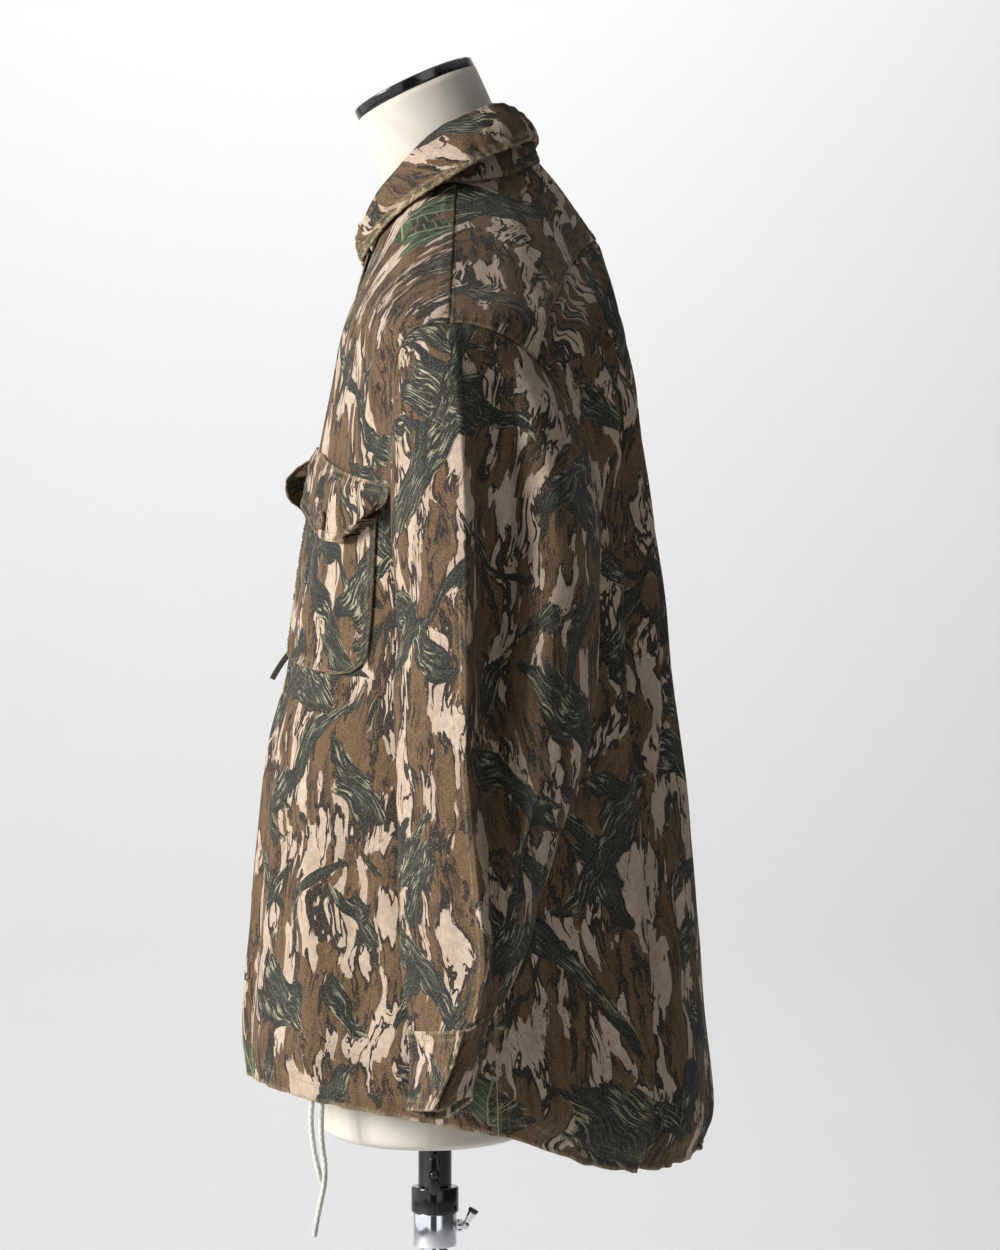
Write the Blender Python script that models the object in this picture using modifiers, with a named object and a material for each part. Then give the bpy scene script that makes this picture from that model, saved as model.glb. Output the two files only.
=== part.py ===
"""Shirt jacket in brushed cotton, buttoned on a limbless dress form that stands on a pole and a round base.

The floor is at z = 0 and the pole's axis is x = y = 0. The front faces -Y and the wearer's left is +X.
Sizes are in metres.
"""

import math

import bmesh
import bpy
import numpy as np
from mathutils import Matrix, Vector

COLLECTION = "shirt_jacket_on_dress_form"

# ---- cloth thicknesses and clearances ----
CLOTH = 0.0016
CUFF_CLOTH = 0.0024
POCKET_CLOTH = 0.0012
SEAM_GAP = 0.0003
LAYER_GAP = 0.0013
YOKE_GAP = 0.0034          # between the yoke and the back, which curve away from each other

# ---- jacket body: one row for each level, seen from the front (half_width) and the side (the y columns) ----
BODY_COLUMNS = ("z", "half_width", "front_y", "ridge_y", "back_y")
BODY = np.array((
    (0.700, 0.220, -0.156, 0.052, 0.229),
    (0.797, 0.214, -0.1535, 0.050, 0.221),
    (0.848, 0.210, -0.1520, 0.048, 0.2155),
    (0.904, 0.206, -0.1480, 0.047, 0.2110),
    (0.968, 0.204, -0.1425, 0.045, 0.2055),
    (1.056, 0.207, -0.1320, 0.042, 0.1955),
    (1.120, 0.212, -0.1200, 0.040, 0.1865),
    (1.197, 0.220, -0.1090, 0.034, 0.1780),
    (1.250, 0.230, -0.1000, 0.030, 0.1700),
    (1.290, 0.240, -0.0925, 0.026, 0.1630),
    (1.338, 0.259, -0.0820, 0.020, 0.1575),
    (1.369, 0.270, -0.0745, 0.0155, 0.1515),
    (1.410, 0.205, -0.0615, 0.0160, 0.1415),
    (1.438, 0.158, -0.0520, 0.0165, 0.1320),
    (1.459, 0.123, -0.0440, 0.0170, 0.1230),
    (1.480, 0.090, -0.0330, 0.0172, 0.1100),
    (1.497, 0.066, -0.0230, 0.0176, 0.0990),
    (1.520, 0.040, -0.0080, 0.0180, 0.0800),
))
BODY_POWER = 2.2          # 2 is an ellipse, more is squarer
SHOULDER_Z = 1.369        # outer end of the shoulder seam
ARMPIT_Z = 1.120

# ---- armhole, as the side view shows it: its reach from the shoulder ridge to the front and to the back ----
ARMHOLE_FRONT = 0.052
ARMHOLE_BACK = 0.092
ARMHOLE_TOP_POWER = 3.5
ARMHOLE_POWER = 2.2
ARMHOLE_STEPS = 14        # steps on each side, from the shoulder to the armpit
YOKE_STEPS = 3            # of those, the steps along the yoke
BACK_HALF_COLUMNS = 9     # columns on each side of the back's centre, a third of them along the neck
FRONT_ROW_SHARES = (0.09, 0.53)   # the rows at the shoulder and the armpit, as shares down the front's centre
ARMPIT_ROW_SHARE = 0.54   # the row at the armpit lies this far down the centre line, which keeps rows apart

# ---- neckline, seen from above, and hem ----
NECK_HALF_WIDTH = 0.070
NECK_HALF_DEPTH = 0.066
NECK_Y = 0.0165
HEM = np.array((                                   # turn, z
    (0.0, 0.797), (0.5, 0.787), (1.0, 0.766), (1.28, 0.740), (1.55, 0.733), (1.8, 0.738), (2.0, 0.744),
))
YOKE_SEAM = np.array(((0.0, 1.459), (0.60, 1.4300), (0.80, 1.4020), (0.92, 1.372), (1.0, 1.3475)))  # share, z

# ---- body folds: turn at the top and foot (0 front centre, 1 left side, 2 back), z at both, width in turns, depth ----
FOLDS = np.array((
    (1.42, 1.40, 1.330, 0.980, 0.110, 0.0075),
    (1.55, 1.47, 1.330, 0.760, 0.095, -0.0050),
    (1.68, 1.56, 1.400, 0.730, 0.100, 0.0075),
    (2.32, 2.42, 1.400, 0.740, 0.110, 0.0070),
    (2.58, 2.60, 1.330, 0.980, 0.110, 0.0065),
    (0.55, 0.62, 1.060, 0.797, 0.130, 0.0050),
    (3.42, 3.36, 1.080, 0.797, 0.130, 0.0050),
))

# ---- sleeve sections below the armhole: front edge, outer ridge, valley, rear lobe and rear edge ----
SLEEVE_COLUMNS = (
    "z", "front_y", "ridge_y", "valley_y", "lobe_y", "rear_y",
    "inner_x", "front_x", "ridge_x", "valley_x", "lobe_x", "rear_x",
)
SLEEVE = np.array((
    (0.851, -0.0120, 0.0290, 0.0360, 0.0405, 0.0440, 0.2235, 0.262, 0.322, 0.3140, 0.300, 0.262),
    (0.875, -0.0171, 0.0400, 0.0450, 0.0500, 0.0560, 0.2220, 0.258, 0.322, 0.3140, 0.300, 0.255),
    (0.907, -0.0200, 0.0425, 0.0470, 0.0580, 0.0725, 0.2190, 0.257, 0.321, 0.3100, 0.303, 0.250),
    (0.950, -0.0222, 0.0375, 0.0440, 0.0630, 0.0830, 0.2175, 0.256, 0.320, 0.3030, 0.305, 0.252),
    (1.010, -0.0237, 0.0324, 0.0430, 0.0750, 0.1030, 0.2170, 0.256, 0.319, 0.2960, 0.303, 0.250),
    (1.053, -0.0244, 0.0287, 0.0420, 0.0800, 0.1160, 0.2175, 0.257, 0.319, 0.2920, 0.302, 0.250),
    (1.112, -0.0251, 0.0287, 0.0420, 0.0850, 0.1245, 0.2225, 0.258, 0.319, 0.2900, 0.302, 0.248),
    (1.166, -0.0251, 0.0280, 0.0476, 0.0900, 0.1252, 0.2280, 0.258, 0.318, 0.2880, 0.300, 0.247),
    (1.209, -0.0273, 0.0280, 0.0520, 0.0900, 0.1230, 0.2300, 0.256, 0.316, 0.2880, 0.297, 0.245),
    (1.287, -0.0258, 0.0251, 0.0527, 0.0850, 0.1142, 0.2400, 0.256, 0.306, 0.2860, 0.290, 0.248),
    (1.369, -0.0240, 0.0180, 0.0460, 0.0800, 0.1050, 0.2500, 0.262, 0.288, 0.2840, 0.280, 0.262),
))
SLEEVE_KEYS = (0.0, 80.0, 132.0, 180.0, 228.0, 270.0, 312.0, 340.0)   # degrees round the sleeve
SLEEVE_END_Z = 0.8505
SLEEVE_ROWS = 12
SLEEVE_STEP_TOP = 0.0023  # the sleeve starts this far outside the armhole's edge, at the shoulder
SLEEVE_STEP_LOW = 0.0030  # and at the armpit
SLEEVE_DROP = 0.0014
SLEEVE_SETTLE = 0.030     # drop over which the sleeve swings from the armhole to its own section

# ---- cuff: a band below each sleeve ----
CUFF_TOP_Z = 0.8500
CUFF_LOW_Z = 0.7915
CUFF_COLUMNS = ("z", "front_y", "ridge_y", "rear_y", "inner_x", "front_x", "ridge_x", "rear_x")
CUFF = np.array((
    (CUFF_LOW_Z, -0.0142, 0.0110, 0.0300, 0.2215, 0.262, 0.3200, 0.2650),
    (CUFF_TOP_Z, -0.0120, 0.0270, 0.0440, 0.2225, 0.262, 0.3225, 0.2650),
))
CUFF_KEYS = (0.0, 90.0, 180.0, 270.0)
CUFF_SEGMENTS = 20

# ---- collar: fold line and leaf edge, one row for each angle round the neck, 0 at the front centre ----
COLLAR_COLUMNS = ("angle", "fold_x", "fold_y", "fold_z", "edge_x", "edge_y", "edge_z")
COLLAR = np.array((
    (4.0, 0.003, -0.0560, 1.4660, 0.036, -0.0575, 1.4350),
    (25.0, 0.028, -0.0500, 1.4790, 0.056, -0.0475, 1.4510),
    (50.0, 0.050, -0.0310, 1.5040, 0.078, -0.0230, 1.4745),
    (75.0, 0.063, -0.0040, 1.5310, 0.096, 0.0080, 1.4920),
    (100.0, 0.0665, 0.0240, 1.5490, 0.094, 0.0340, 1.5070),
    (130.0, 0.055, 0.0550, 1.5600, 0.071, 0.0650, 1.5220),
    (155.0, 0.030, 0.0715, 1.5575, 0.037, 0.0790, 1.5310),
    (180.0, 0.000, 0.0760, 1.5550, 0.000, 0.0830, 1.5345),
))
LEAF_COLUMNS = 26
LEAF_ROWS = 4
LEAF_CLEAR = 0.0034       # leaf's inner turn outside the stand
STAND_COLUMNS = 24
STAND_ROWS = 2
STAND_CLEAR = 0.0035       # the stand's foot above the neck seam

# ---- front: placket, pockets, flaps and buttons ----
PLACKET_HALF = 0.0175
UNDERLAP_DROP = 0.0045    # how far the right front lies under the left one
UNDERLAP_BLEND = 0.020
FRONT_COLUMNS_COUNT = 8
POCKET_CORNERS = ((0.045, 1.276), (0.201, 1.246), (0.181, 1.110), (0.045, 1.120))   # x, z from the top inner one
POCKET_CELLS = 6
FLAP_TOP = ((0.043, 1.287), (0.206, 1.2550))   # x, z of the sewn edge's ends
FLAP_DROP = 0.052
FLAP_POINT = 0.014        # extra drop at the middle
FLAP_CELLS = (4, 6)
FLAP_CLEAR = 0.0014
FLAP_CURL_LEFT = 0.016    # outer corner of the left flap stands off this much
FLAP_CURL_RIGHT = 0.021   # inner corner of the right one
BUTTON_RADIUS = 0.0075
BUTTON_HEIGHT = 0.0028
BUTTON_SIDES = 16
BUTTON_LEVELS = (1.395, 1.302, 1.209, 1.116, 1.023, 0.930)
TAB_START = (0.0225, -0.1210, 1.1250)
TAB_BEND = (0.0225, -0.1275, 1.1170)
TAB_END = (0.0225, -0.1345, 1.1030)
TAB_WIDTH = 0.0045
TAB_THICK = 0.0018

# ---- drawstring in the hem: two free ends from one outlet inside the left front ----
OUTLET_TURN = 0.520
OUTLET_Z = 0.797
OUTLET_SIZE = (0.026, 0.012, 0.0012)
OUTLET_CLEAR = 0.0022
CORD_RADIUS = 0.0021
CORD_SHORT_ROUTE = (
    (0.1530, -0.0925, 0.7960),
    (0.1508, -0.0918, 0.7950),
    (0.1490, -0.0912, 0.7910),
    (0.1486, -0.0915, 0.7830),
    (0.1492, -0.0922, 0.7730),
    (0.1500, -0.0915, 0.7600),
    (0.1504, -0.0895, 0.7460),
    (0.1500, -0.0865, 0.7320),
    (0.1494, -0.0836, 0.7205),
)
CORD_LONG_ROUTE = (
    (0.1600, -0.0845, 0.7960),
    (0.1578, -0.0837, 0.7950),
    (0.1558, -0.0832, 0.7910),
    (0.1552, -0.0838, 0.7800),
    (0.1552, -0.0842, 0.7650),
    (0.1556, -0.0832, 0.7500),
    (0.1560, -0.0814, 0.7370),
    (0.1562, -0.0818, 0.7230),
    (0.1558, -0.0845, 0.7090),
    (0.1552, -0.0872, 0.6960),
    (0.1548, -0.0895, 0.6820),
)
CORD_STEP = 0.010

# ---- dress form: rings from the hips to the neck, each (front y, front z, back y, back z, half width) ----
FORM = np.array((
    (-0.0800, 0.7420, 0.0700, 0.7420, 0.150),
    (-0.0880, 0.7450, 0.0780, 0.7450, 0.160),
    (-0.0925, 0.7550, 0.0830, 0.7550, 0.165),
    (-0.0935, 0.8000, 0.0880, 0.8000, 0.168),
    (-0.0900, 0.9000, 0.0900, 0.9000, 0.158),
    (-0.0850, 1.0000, 0.0900, 1.0000, 0.146),
    (-0.0880, 1.1000, 0.1050, 1.1000, 0.152),
    (-0.0900, 1.2000, 0.1200, 1.2000, 0.166),
    (-0.0820, 1.2800, 0.1270, 1.2800, 0.180),
    (-0.0700, 1.3400, 0.1290, 1.3400, 0.190),
    (-0.0610, 1.3780, 0.1270, 1.3780, 0.192),
    (-0.0510, 1.4100, 0.1220, 1.4120, 0.181),
    (-0.0440, 1.4350, 0.1140, 1.4380, 0.149),
    (-0.0370, 1.4530, 0.1040, 1.4600, 0.115),
    (-0.0330, 1.4690, 0.0890, 1.4830, 0.080),
    (-0.0345, 1.4830, 0.0730, 1.5060, 0.0600),
    (-0.0400, 1.5000, 0.0590, 1.5350, 0.0545),
    (-0.0510, 1.5260, 0.0440, 1.5690, 0.0515),
    (-0.0608, 1.5504, 0.0328, 1.5936, 0.0505),
))
FORM_POWER = 2.15
FORM_SIDES = 32
CAP_RADIUS = 0.0514
CAP_HEIGHT = 0.0088
CAP_BEVEL = 0.0012

# ---- stand ----
PIPE_RADIUS = 0.0134
PIPE_BORE = 0.0113
PIPE_LOW_Z = 0.6996
PIPE_TOP_Z = 1.060
FORM_BORE = PIPE_RADIUS + 0.0005
FORM_BORE_TOP_Z = PIPE_TOP_Z + 0.005
RING_RADIUS = 0.0190
RING_LOW_Z = 0.6784
SLEEVE_TUBE_RADIUS = 0.0175
SLEEVE_TUBE_LOW_Z = 0.6515
TUBE_BORE = 0.0112
POLE_RADIUS = 0.01065
POLE_TOP_Z = 0.860
BASE_RADIUS = 0.200
BASE_HEIGHT = 0.012
HUB_RADIUS = 0.024
HUB_HEIGHT = 0.045
SCREW_Z = 0.6680
WING_Z = 0.7112
WING_WAIST = 0.0065        # half the wing's width across, and its reach along
WING_REACH = 0.0170
WING_START = 0.0062        # the wing stands clear of the ring below it
WING_THICK = 0.0038
SHANK_RADIUS = 0.0045
SHANK_LENGTH = 0.0110
ROUND_SIDES = 32

COLOURS = {
    "camo_cloth": ((0.36, 0.28, 0.21), 0.92, 0.0),
    "button": ((0.16, 0.12, 0.09), 0.35, 0.0),
    "cotton_cord": ((0.86, 0.85, 0.80), 0.85, 0.0),
    "cream_cover": ((0.86, 0.82, 0.74), 0.75, 0.0),
    "black_gloss": ((0.02, 0.02, 0.022), 0.18, 0.0),
    "chrome": ((0.80, 0.81, 0.83), 0.12, 1.0),
    "base_paint": ((0.03, 0.03, 0.032), 0.45, 0.0),
}


def clear_scene():
    for item in list(bpy.data.objects):
        bpy.data.objects.remove(item, do_unlink=True)


def material(name):
    found = bpy.data.materials.get(name)
    if found:
        return found
    colour, roughness, metallic = COLOURS[name]
    made = bpy.data.materials.new(name)
    made.use_nodes = True
    shader = made.node_tree.nodes["Principled BSDF"]
    shader.inputs["Base Color"].default_value = (*colour, 1.0)
    shader.inputs["Roughness"].default_value = roughness
    shader.inputs["Metallic"].default_value = metallic
    return made


def place(name, mesh, material_name, parts):
    item = bpy.data.objects.new(name, mesh)
    mesh.materials.append(material(material_name))
    parts.objects.link(item)
    return item


def smooth_read(xs, ys, at):
    """Cubic through the points (xs, ys), with the slope at each taken from its neighbours."""
    xs = np.asarray(xs, float)
    ys = np.asarray(ys, float)
    at = np.clip(np.asarray(at, float), xs[0], xs[-1])
    slopes = np.gradient(ys, xs)
    low = np.clip(np.searchsorted(xs, at, side="right") - 1, 0, len(xs) - 2)
    width = xs[low + 1] - xs[low]
    s = (at - xs[low]) / width
    return (
        ys[low] * (1 + 2 * s) * (1 - s) ** 2
        + ys[low + 1] * s * s * (3 - 2 * s)
        + width * slopes[low] * s * (1 - s) ** 2
        - width * slopes[low + 1] * s * s * (1 - s)
    )


def column(table, names, name, at):
    """A table's named column, read at a value of its first column."""
    return smooth_read(table[:, 0], table[:, names.index(name)], at)


def body(name, z):
    return column(BODY, BODY_COLUMNS, name, z)


def smooth_step(x):
    x = np.clip(x, 0.0, 1.0)
    return x * x * (3 - 2 * x)


def plain_body(turn, z):
    """A point of the jacket's outer surface without its folds. turn is 0 at the front, 1 left, 2 back, 3 right."""
    signed = (np.asarray(turn, float) + 2.0) % 4.0 - 2.0
    around = np.abs(signed)
    quarter = np.where(around <= 1.0, around, 2.0 - around) * math.pi / 2
    across = np.sin(quarter) ** (2 / BODY_POWER)
    along = np.maximum(np.cos(quarter), 0.0) ** (2 / BODY_POWER)
    ridge = body("ridge_y", z)
    end = np.where(around <= 1.0, body("front_y", z), body("back_y", z))
    x = np.sign(signed) * body("half_width", z) * across
    y = ridge + (end - ridge) * along
    return np.stack(np.broadcast_arrays(x, y, z), axis=-1).astype(float)


def fold_height(turn, z):
    """Sum of the folds: each is a smooth ridge or trough that fades in below its top and out at its foot."""
    total = np.zeros(np.broadcast(turn, z).shape)
    for top, low, z_top, z_low, width, depth in FOLDS:
        share = (z_top - z) / (z_top - z_low)
        centre = top + (low - top) * np.clip(share, 0.0, 1.2)
        shape = np.exp(-(((turn - centre) / width) ** 2))
        total = total + depth * shape * smooth_step(share * 4) * smooth_step((1.25 - share) * 4)
    return total


def body_surface(turn, z):
    """The jacket's outer surface: the plain body moved along its level normal by the folds."""
    turn = np.asarray(turn, float)
    z = np.asarray(z, float)
    step = 0.004
    here = plain_body(turn, z)
    tangent = plain_body(turn + step, z) - plain_body(turn - step, z)
    normal = np.stack((tangent[..., 1], -tangent[..., 0]), axis=-1)
    normal = normal / np.maximum(np.linalg.norm(normal, axis=-1, keepdims=True), 1e-9)
    here[..., :2] += normal * fold_height(turn % 4.0, z)[..., None]
    return here


def turn_at_y(y, z, back):
    """The turn on the left side where the plain body has that y at that level."""
    ridge = body("ridge_y", z)
    end = body("back_y", z) if back else body("front_y", z)
    share = np.clip((y - ridge) / (end - ridge), 0.0, 1.0)
    quarter = np.arccos(share ** (BODY_POWER / 2)) * 2 / math.pi
    return 2.0 - quarter if back else quarter


def turn_at_x(x, z):
    """The turn on the front where the plain body has that x at that level. It is negative on the right side."""
    share = np.clip(np.abs(x) / body("half_width", z), 0.0, 1.0)
    quarter = np.arcsin(share ** (BODY_POWER / 2)) * 2 / math.pi
    return np.sign(x) * quarter


def armhole(angle):
    """Turn and level of the left armhole. angle is 0 at the shoulder, 90 at the front, 180 at the armpit, 270 behind."""
    angle = np.radians(np.asarray(angle, float) % 360.0)
    up = np.cos(angle)
    out = np.abs(np.sin(angle))
    front = np.sin(angle) >= 0
    power = np.where(front & (up > 0), ARMHOLE_TOP_POWER, ARMHOLE_POWER)
    middle = (SHOULDER_Z + ARMPIT_Z) / 2
    half = (SHOULDER_Z - ARMPIT_Z) / 2
    z = middle + half * np.sign(up) * np.abs(up) ** (2 / power)
    reach = out ** (2 / power)
    ridge = body("ridge_y", z)
    turn_front = turn_at_y(ridge - ARMHOLE_FRONT * reach, z, False)
    turn_back = turn_at_y(ridge + ARMHOLE_BACK * reach, z, True)
    return np.where(front, turn_front, turn_back), z


def neckline(angle):
    """Turn and level of the neck's edge at an angle in degrees, 0 at the front centre and 180 at the back."""
    angle = np.radians(np.asarray(angle, float))
    x = NECK_HALF_WIDTH * np.sin(angle)
    y = NECK_Y - NECK_HALF_DEPTH * np.cos(angle)
    low = np.full(angle.shape, 1.40)
    high = np.full(angle.shape, 1.519)
    for _ in range(40):
        middle = (low + high) / 2
        ridge = body("ridge_y", middle)
        end = np.where(y < ridge, body("front_y", middle), body("back_y", middle))
        across = (np.abs(x) / body("half_width", middle)) ** BODY_POWER
        along = (np.abs(y - ridge) / np.abs(end - ridge)) ** BODY_POWER
        inside = across + along < 1.0
        low = np.where(inside, middle, low)
        high = np.where(inside, high, middle)
    z = (low + high) / 2
    ridge = body("ridge_y", z)
    front = turn_at_y(np.minimum(y, ridge), z, False)
    back = turn_at_y(np.maximum(y, ridge), z, True)
    return np.where(y < ridge, front, back), z


def hem_z(turn):
    signed = (np.asarray(turn, float) + 2.0) % 4.0 - 2.0
    return smooth_read(HEM[:, 0], HEM[:, 1], np.abs(signed))


def grid_mesh(name, grid, closed=False, flip=False):
    """A mesh of quads on a grid of points, rows downwards. A closed one joins its last column to its first."""
    rows, columns = grid.shape[:2]
    index = np.arange(rows * columns).reshape(rows, columns)
    if closed:
        index = np.concatenate((index, index[:, :1]), axis=1)
    faces = np.stack((index[:-1, :-1], index[1:, :-1], index[1:, 1:], index[:-1, 1:]), axis=-1).reshape(-1, 4)
    if flip:
        faces = faces[:, ::-1]
    mesh = bpy.data.meshes.new(name)
    mesh.from_pydata(grid.reshape(-1, 3).tolist(), [], faces.tolist())
    mesh.shade_smooth()
    return mesh


def cloth_piece(name, grid, parts, thickness=CLOTH, closed=False, flip=False, material_name="camo_cloth"):
    """A piece of cloth: the grid is its outer face, and its wall goes inwards."""
    item = place(name, grid_mesh(name, grid, closed, flip), material_name, parts)
    wall = item.modifiers.new("cloth thickness", "SOLIDIFY")
    wall.thickness = thickness
    wall.offset = -1.0
    return item


def lift(grid, distance, flip=False):
    """The grid moved along its own normals. distance may be an array over the grid."""
    down = np.gradient(grid, axis=0)
    across = np.gradient(grid, axis=1)
    normal = np.cross(down, across)
    normal = normal / np.maximum(np.linalg.norm(normal, axis=-1, keepdims=True), 1e-12)
    if flip:
        normal = -normal
    distance = np.broadcast_to(distance, grid.shape[:2])
    return grid + normal * distance[..., None]


def mirrored(grid):
    return grid * np.array((-1.0, 1.0, 1.0))


def side_edge(back):
    """The left edge of a front or of the back: (turns, levels), from its top to the hem."""
    seam = 1.0 + (SEAM_GAP / 0.3) * (1 if back else -1)
    angles = np.linspace(0.0, 180.0, ARMHOLE_STEPS + 1)
    if back:
        angles = (360.0 - angles)[YOKE_STEPS:]
    turns, levels = armhole(angles)
    turns = np.where(np.abs(turns - 1.0) < abs(seam - 1.0), seam, turns)
    if not back:
        neck_side_z = neckline(np.array((90.0,)))[1][0]
        ridge_levels = np.linspace(neck_side_z, SHOULDER_Z, 4)[:-1]
        turns = np.concatenate((np.full(ridge_levels.shape, seam), turns))
        levels = np.concatenate((ridge_levels, levels))
    low = np.linspace(ARMPIT_Z, float(hem_z(1.0)), 8)[1:]
    turns = np.concatenate((turns, np.full(low.shape, seam)))
    levels = np.concatenate((levels, low))
    return turns, levels


def run_share(turns, levels):
    """Share of the way along an edge at each of its points."""
    points = plain_body(turns, levels)
    steps = np.linalg.norm(np.diff(points, axis=0), axis=1)
    return np.concatenate(((0.0,), np.cumsum(steps))) / steps.sum()


def armpit_shared(share, levels):
    """Share down the centre line for each row: the row that meets the armpit lies at a set share of it."""
    armpit = float(np.interp(-ARMPIT_Z, -levels, share[:, 0]))
    return np.interp(share, (0.0, armpit, 1.0), (0.0, ARMPIT_ROW_SHARE, 1.0))


def neck_level(turn):
    angles = np.linspace(0.0, 180.0, 91)
    turns, levels = neckline(angles)
    return np.interp(np.abs(turn), turns, levels)


def front_grid(left):
    """A front panel, from its centre edge to the shoulder seam, armhole and side seam."""
    turns, levels = side_edge(False)
    share = run_share(turns, levels)[:, None]
    shoulder_share = share[3, 0]
    centre_x = -PLACKET_HALF if left else PLACKET_HALF
    armpit_share = float(np.interp(-ARMPIT_Z, -levels[3:], share[3:, 0]))
    centre_share = np.interp(share, (0.0, shoulder_share, armpit_share, 1.0), (0.0, *FRONT_ROW_SHARES, 1.0))
    centre_z = neck_level(0.0) + (hem_z(0.0) - neck_level(0.0)) * centre_share
    inner_turn = turn_at_x(centre_x, centre_z)
    across = np.linspace(0.0, 1.0, FRONT_COLUMNS_COUNT + 1)[None, :]
    outer = turns[:, None] if left else -turns[:, None]
    turn = inner_turn + (outer - inner_turn) * across
    z = centre_z + (levels[:, None] - centre_z) * np.abs(turn / outer) ** 1.3
    z = np.where(turn * outer < 0, centre_z + 0 * z, z)
    top_rise = neck_level(turn[:1]) - z[:1]
    z = z + top_rise * np.maximum(1 - share / shoulder_share, 0.0) ** 2
    low_drop = hem_z(turn[-1:]) - z[-1:]
    z = z + low_drop * np.maximum((share - 0.7) / 0.3, 0.0) ** 2
    grid = body_surface(turn, z)
    if left:
        return grid
    under = 1 - smooth_step((-grid[..., 0] - PLACKET_HALF) / UNDERLAP_BLEND)
    return lift(grid, -UNDERLAP_DROP * under, flip=True)


def yoke_end():
    turns, levels = armhole(np.array((360.0 - YOKE_STEPS * 180.0 / ARMHOLE_STEPS,)))
    return turns[0], levels[0]


def yoke_seam(share):
    """Turn and level of the yoke's lower seam. share is 0 at the back centre and 1 at the armhole."""
    end_turn, end_z = yoke_end()
    turn = 2.0 + (end_turn - 2.0) * share
    level = smooth_read(YOKE_SEAM[:, 0], YOKE_SEAM[:, 1], share)
    return turn, level + (end_z - YOKE_SEAM[-1, 1]) * share


def back_grid():
    """The back below the yoke, from the left side seam round to the right one."""
    turns, levels = side_edge(True)
    share = run_share(turns, levels)[:, None]
    half = BACK_HALF_COLUMNS
    out = np.abs(np.linspace(-1.0, 1.0, 2 * half + 1))[None, :]
    _, seam_z = yoke_seam(out)
    seam_z = seam_z - YOKE_GAP
    hem_turn = 2.0 + (1.0 - 2.0) * out
    hem = hem_z(hem_turn)
    turn_out = 2.0 + (turns[:, None] - 2.0) * out
    centre_share = armpit_shared(share, levels)
    centre_z = seam_z[:, half:half + 1] + (hem[:, half:half + 1] - seam_z[:, half:half + 1]) * centre_share
    z = centre_z + (levels[:, None] - centre_z) * out ** 1.5
    z = z + (seam_z - z[:1]) * np.maximum(1 - share * 3.2, 0.0) ** 2
    z = z + (hem - z[-1:]) * np.maximum((share - 0.6) / 0.4, 0.0) ** 2
    left_first = np.linspace(-1.0, 1.0, 2 * half + 1)[None, :]
    turn = np.where(left_first <= 0, turn_out, 4.0 - turn_out)
    return body_surface(turn, z)


def yoke_grid():
    """The yoke, from the left armhole over the shoulders to the right one."""
    neck_share = 1.0 / 3.0
    half = BACK_HALF_COLUMNS
    signed = np.linspace(-1.0, 1.0, 2 * half + 1)
    share = np.abs(signed)
    neck_turns, neck_levels = neckline(180.0 - 90.0 * np.clip(share / neck_share, 0.0, 1.0))
    neck_side_z = neckline(np.array((90.0,)))[1][0]
    ridge_share = np.clip((share - neck_share) / (1 - neck_share), 0.0, 1.0)
    ridge_levels = neck_side_z + (SHOULDER_Z - neck_side_z) * ridge_share
    on_neck = share < neck_share
    top_turn = np.where(on_neck, neck_turns, 1.0 + SEAM_GAP / 0.3)
    top_turn = np.maximum(top_turn, 1.0 + SEAM_GAP / 0.3)
    top_z = np.where(on_neck, neck_levels, ridge_levels)
    low_turn, low_z = yoke_seam(share)
    down = np.linspace(0.0, 1.0, YOKE_STEPS + 1)[:, None]
    turn = top_turn + (low_turn - top_turn) * down
    z = top_z + (low_z - top_z) * down
    edge_turns, edge_levels = armhole(360.0 - np.arange(YOKE_STEPS + 1) * 180.0 / ARMHOLE_STEPS)
    edge_turns = np.maximum(edge_turns, 1.0 + SEAM_GAP / 0.3)
    pull = share[None, :] ** 6
    turn = turn + (edge_turns[:, None] - turn[:, :1]) * pull
    z = z + (edge_levels[:, None] - z[:, :1]) * pull
    turn = np.where(signed[None, :] <= 0, turn, 4.0 - turn)
    return body_surface(turn, z)


def ring_read(keys, values, angle):
    """Smooth closed curve through values at the key angles, read at each angle in degrees."""
    keys = np.asarray(keys, float)
    wide = np.concatenate((keys[-2:] - 360.0, keys, keys[:2] + 360.0))
    laid = np.concatenate((values[..., -2:], values, values[..., :2]), axis=-1)
    slopes = np.gradient(laid, wide, axis=-1)
    low = np.clip(np.searchsorted(wide, angle, side="right") - 1, 0, len(wide) - 2)
    width = wide[low + 1] - wide[low]
    s = (angle - wide[low]) / width
    pick = np.arange(laid.shape[0])
    return (
        laid[pick, low] * (1 + 2 * s) * (1 - s) ** 2
        + laid[pick, low + 1] * s * s * (3 - 2 * s)
        + width * slopes[pick, low] * s * (1 - s) ** 2
        - width * slopes[pick, low + 1] * s * s * (1 - s)
    )


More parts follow.
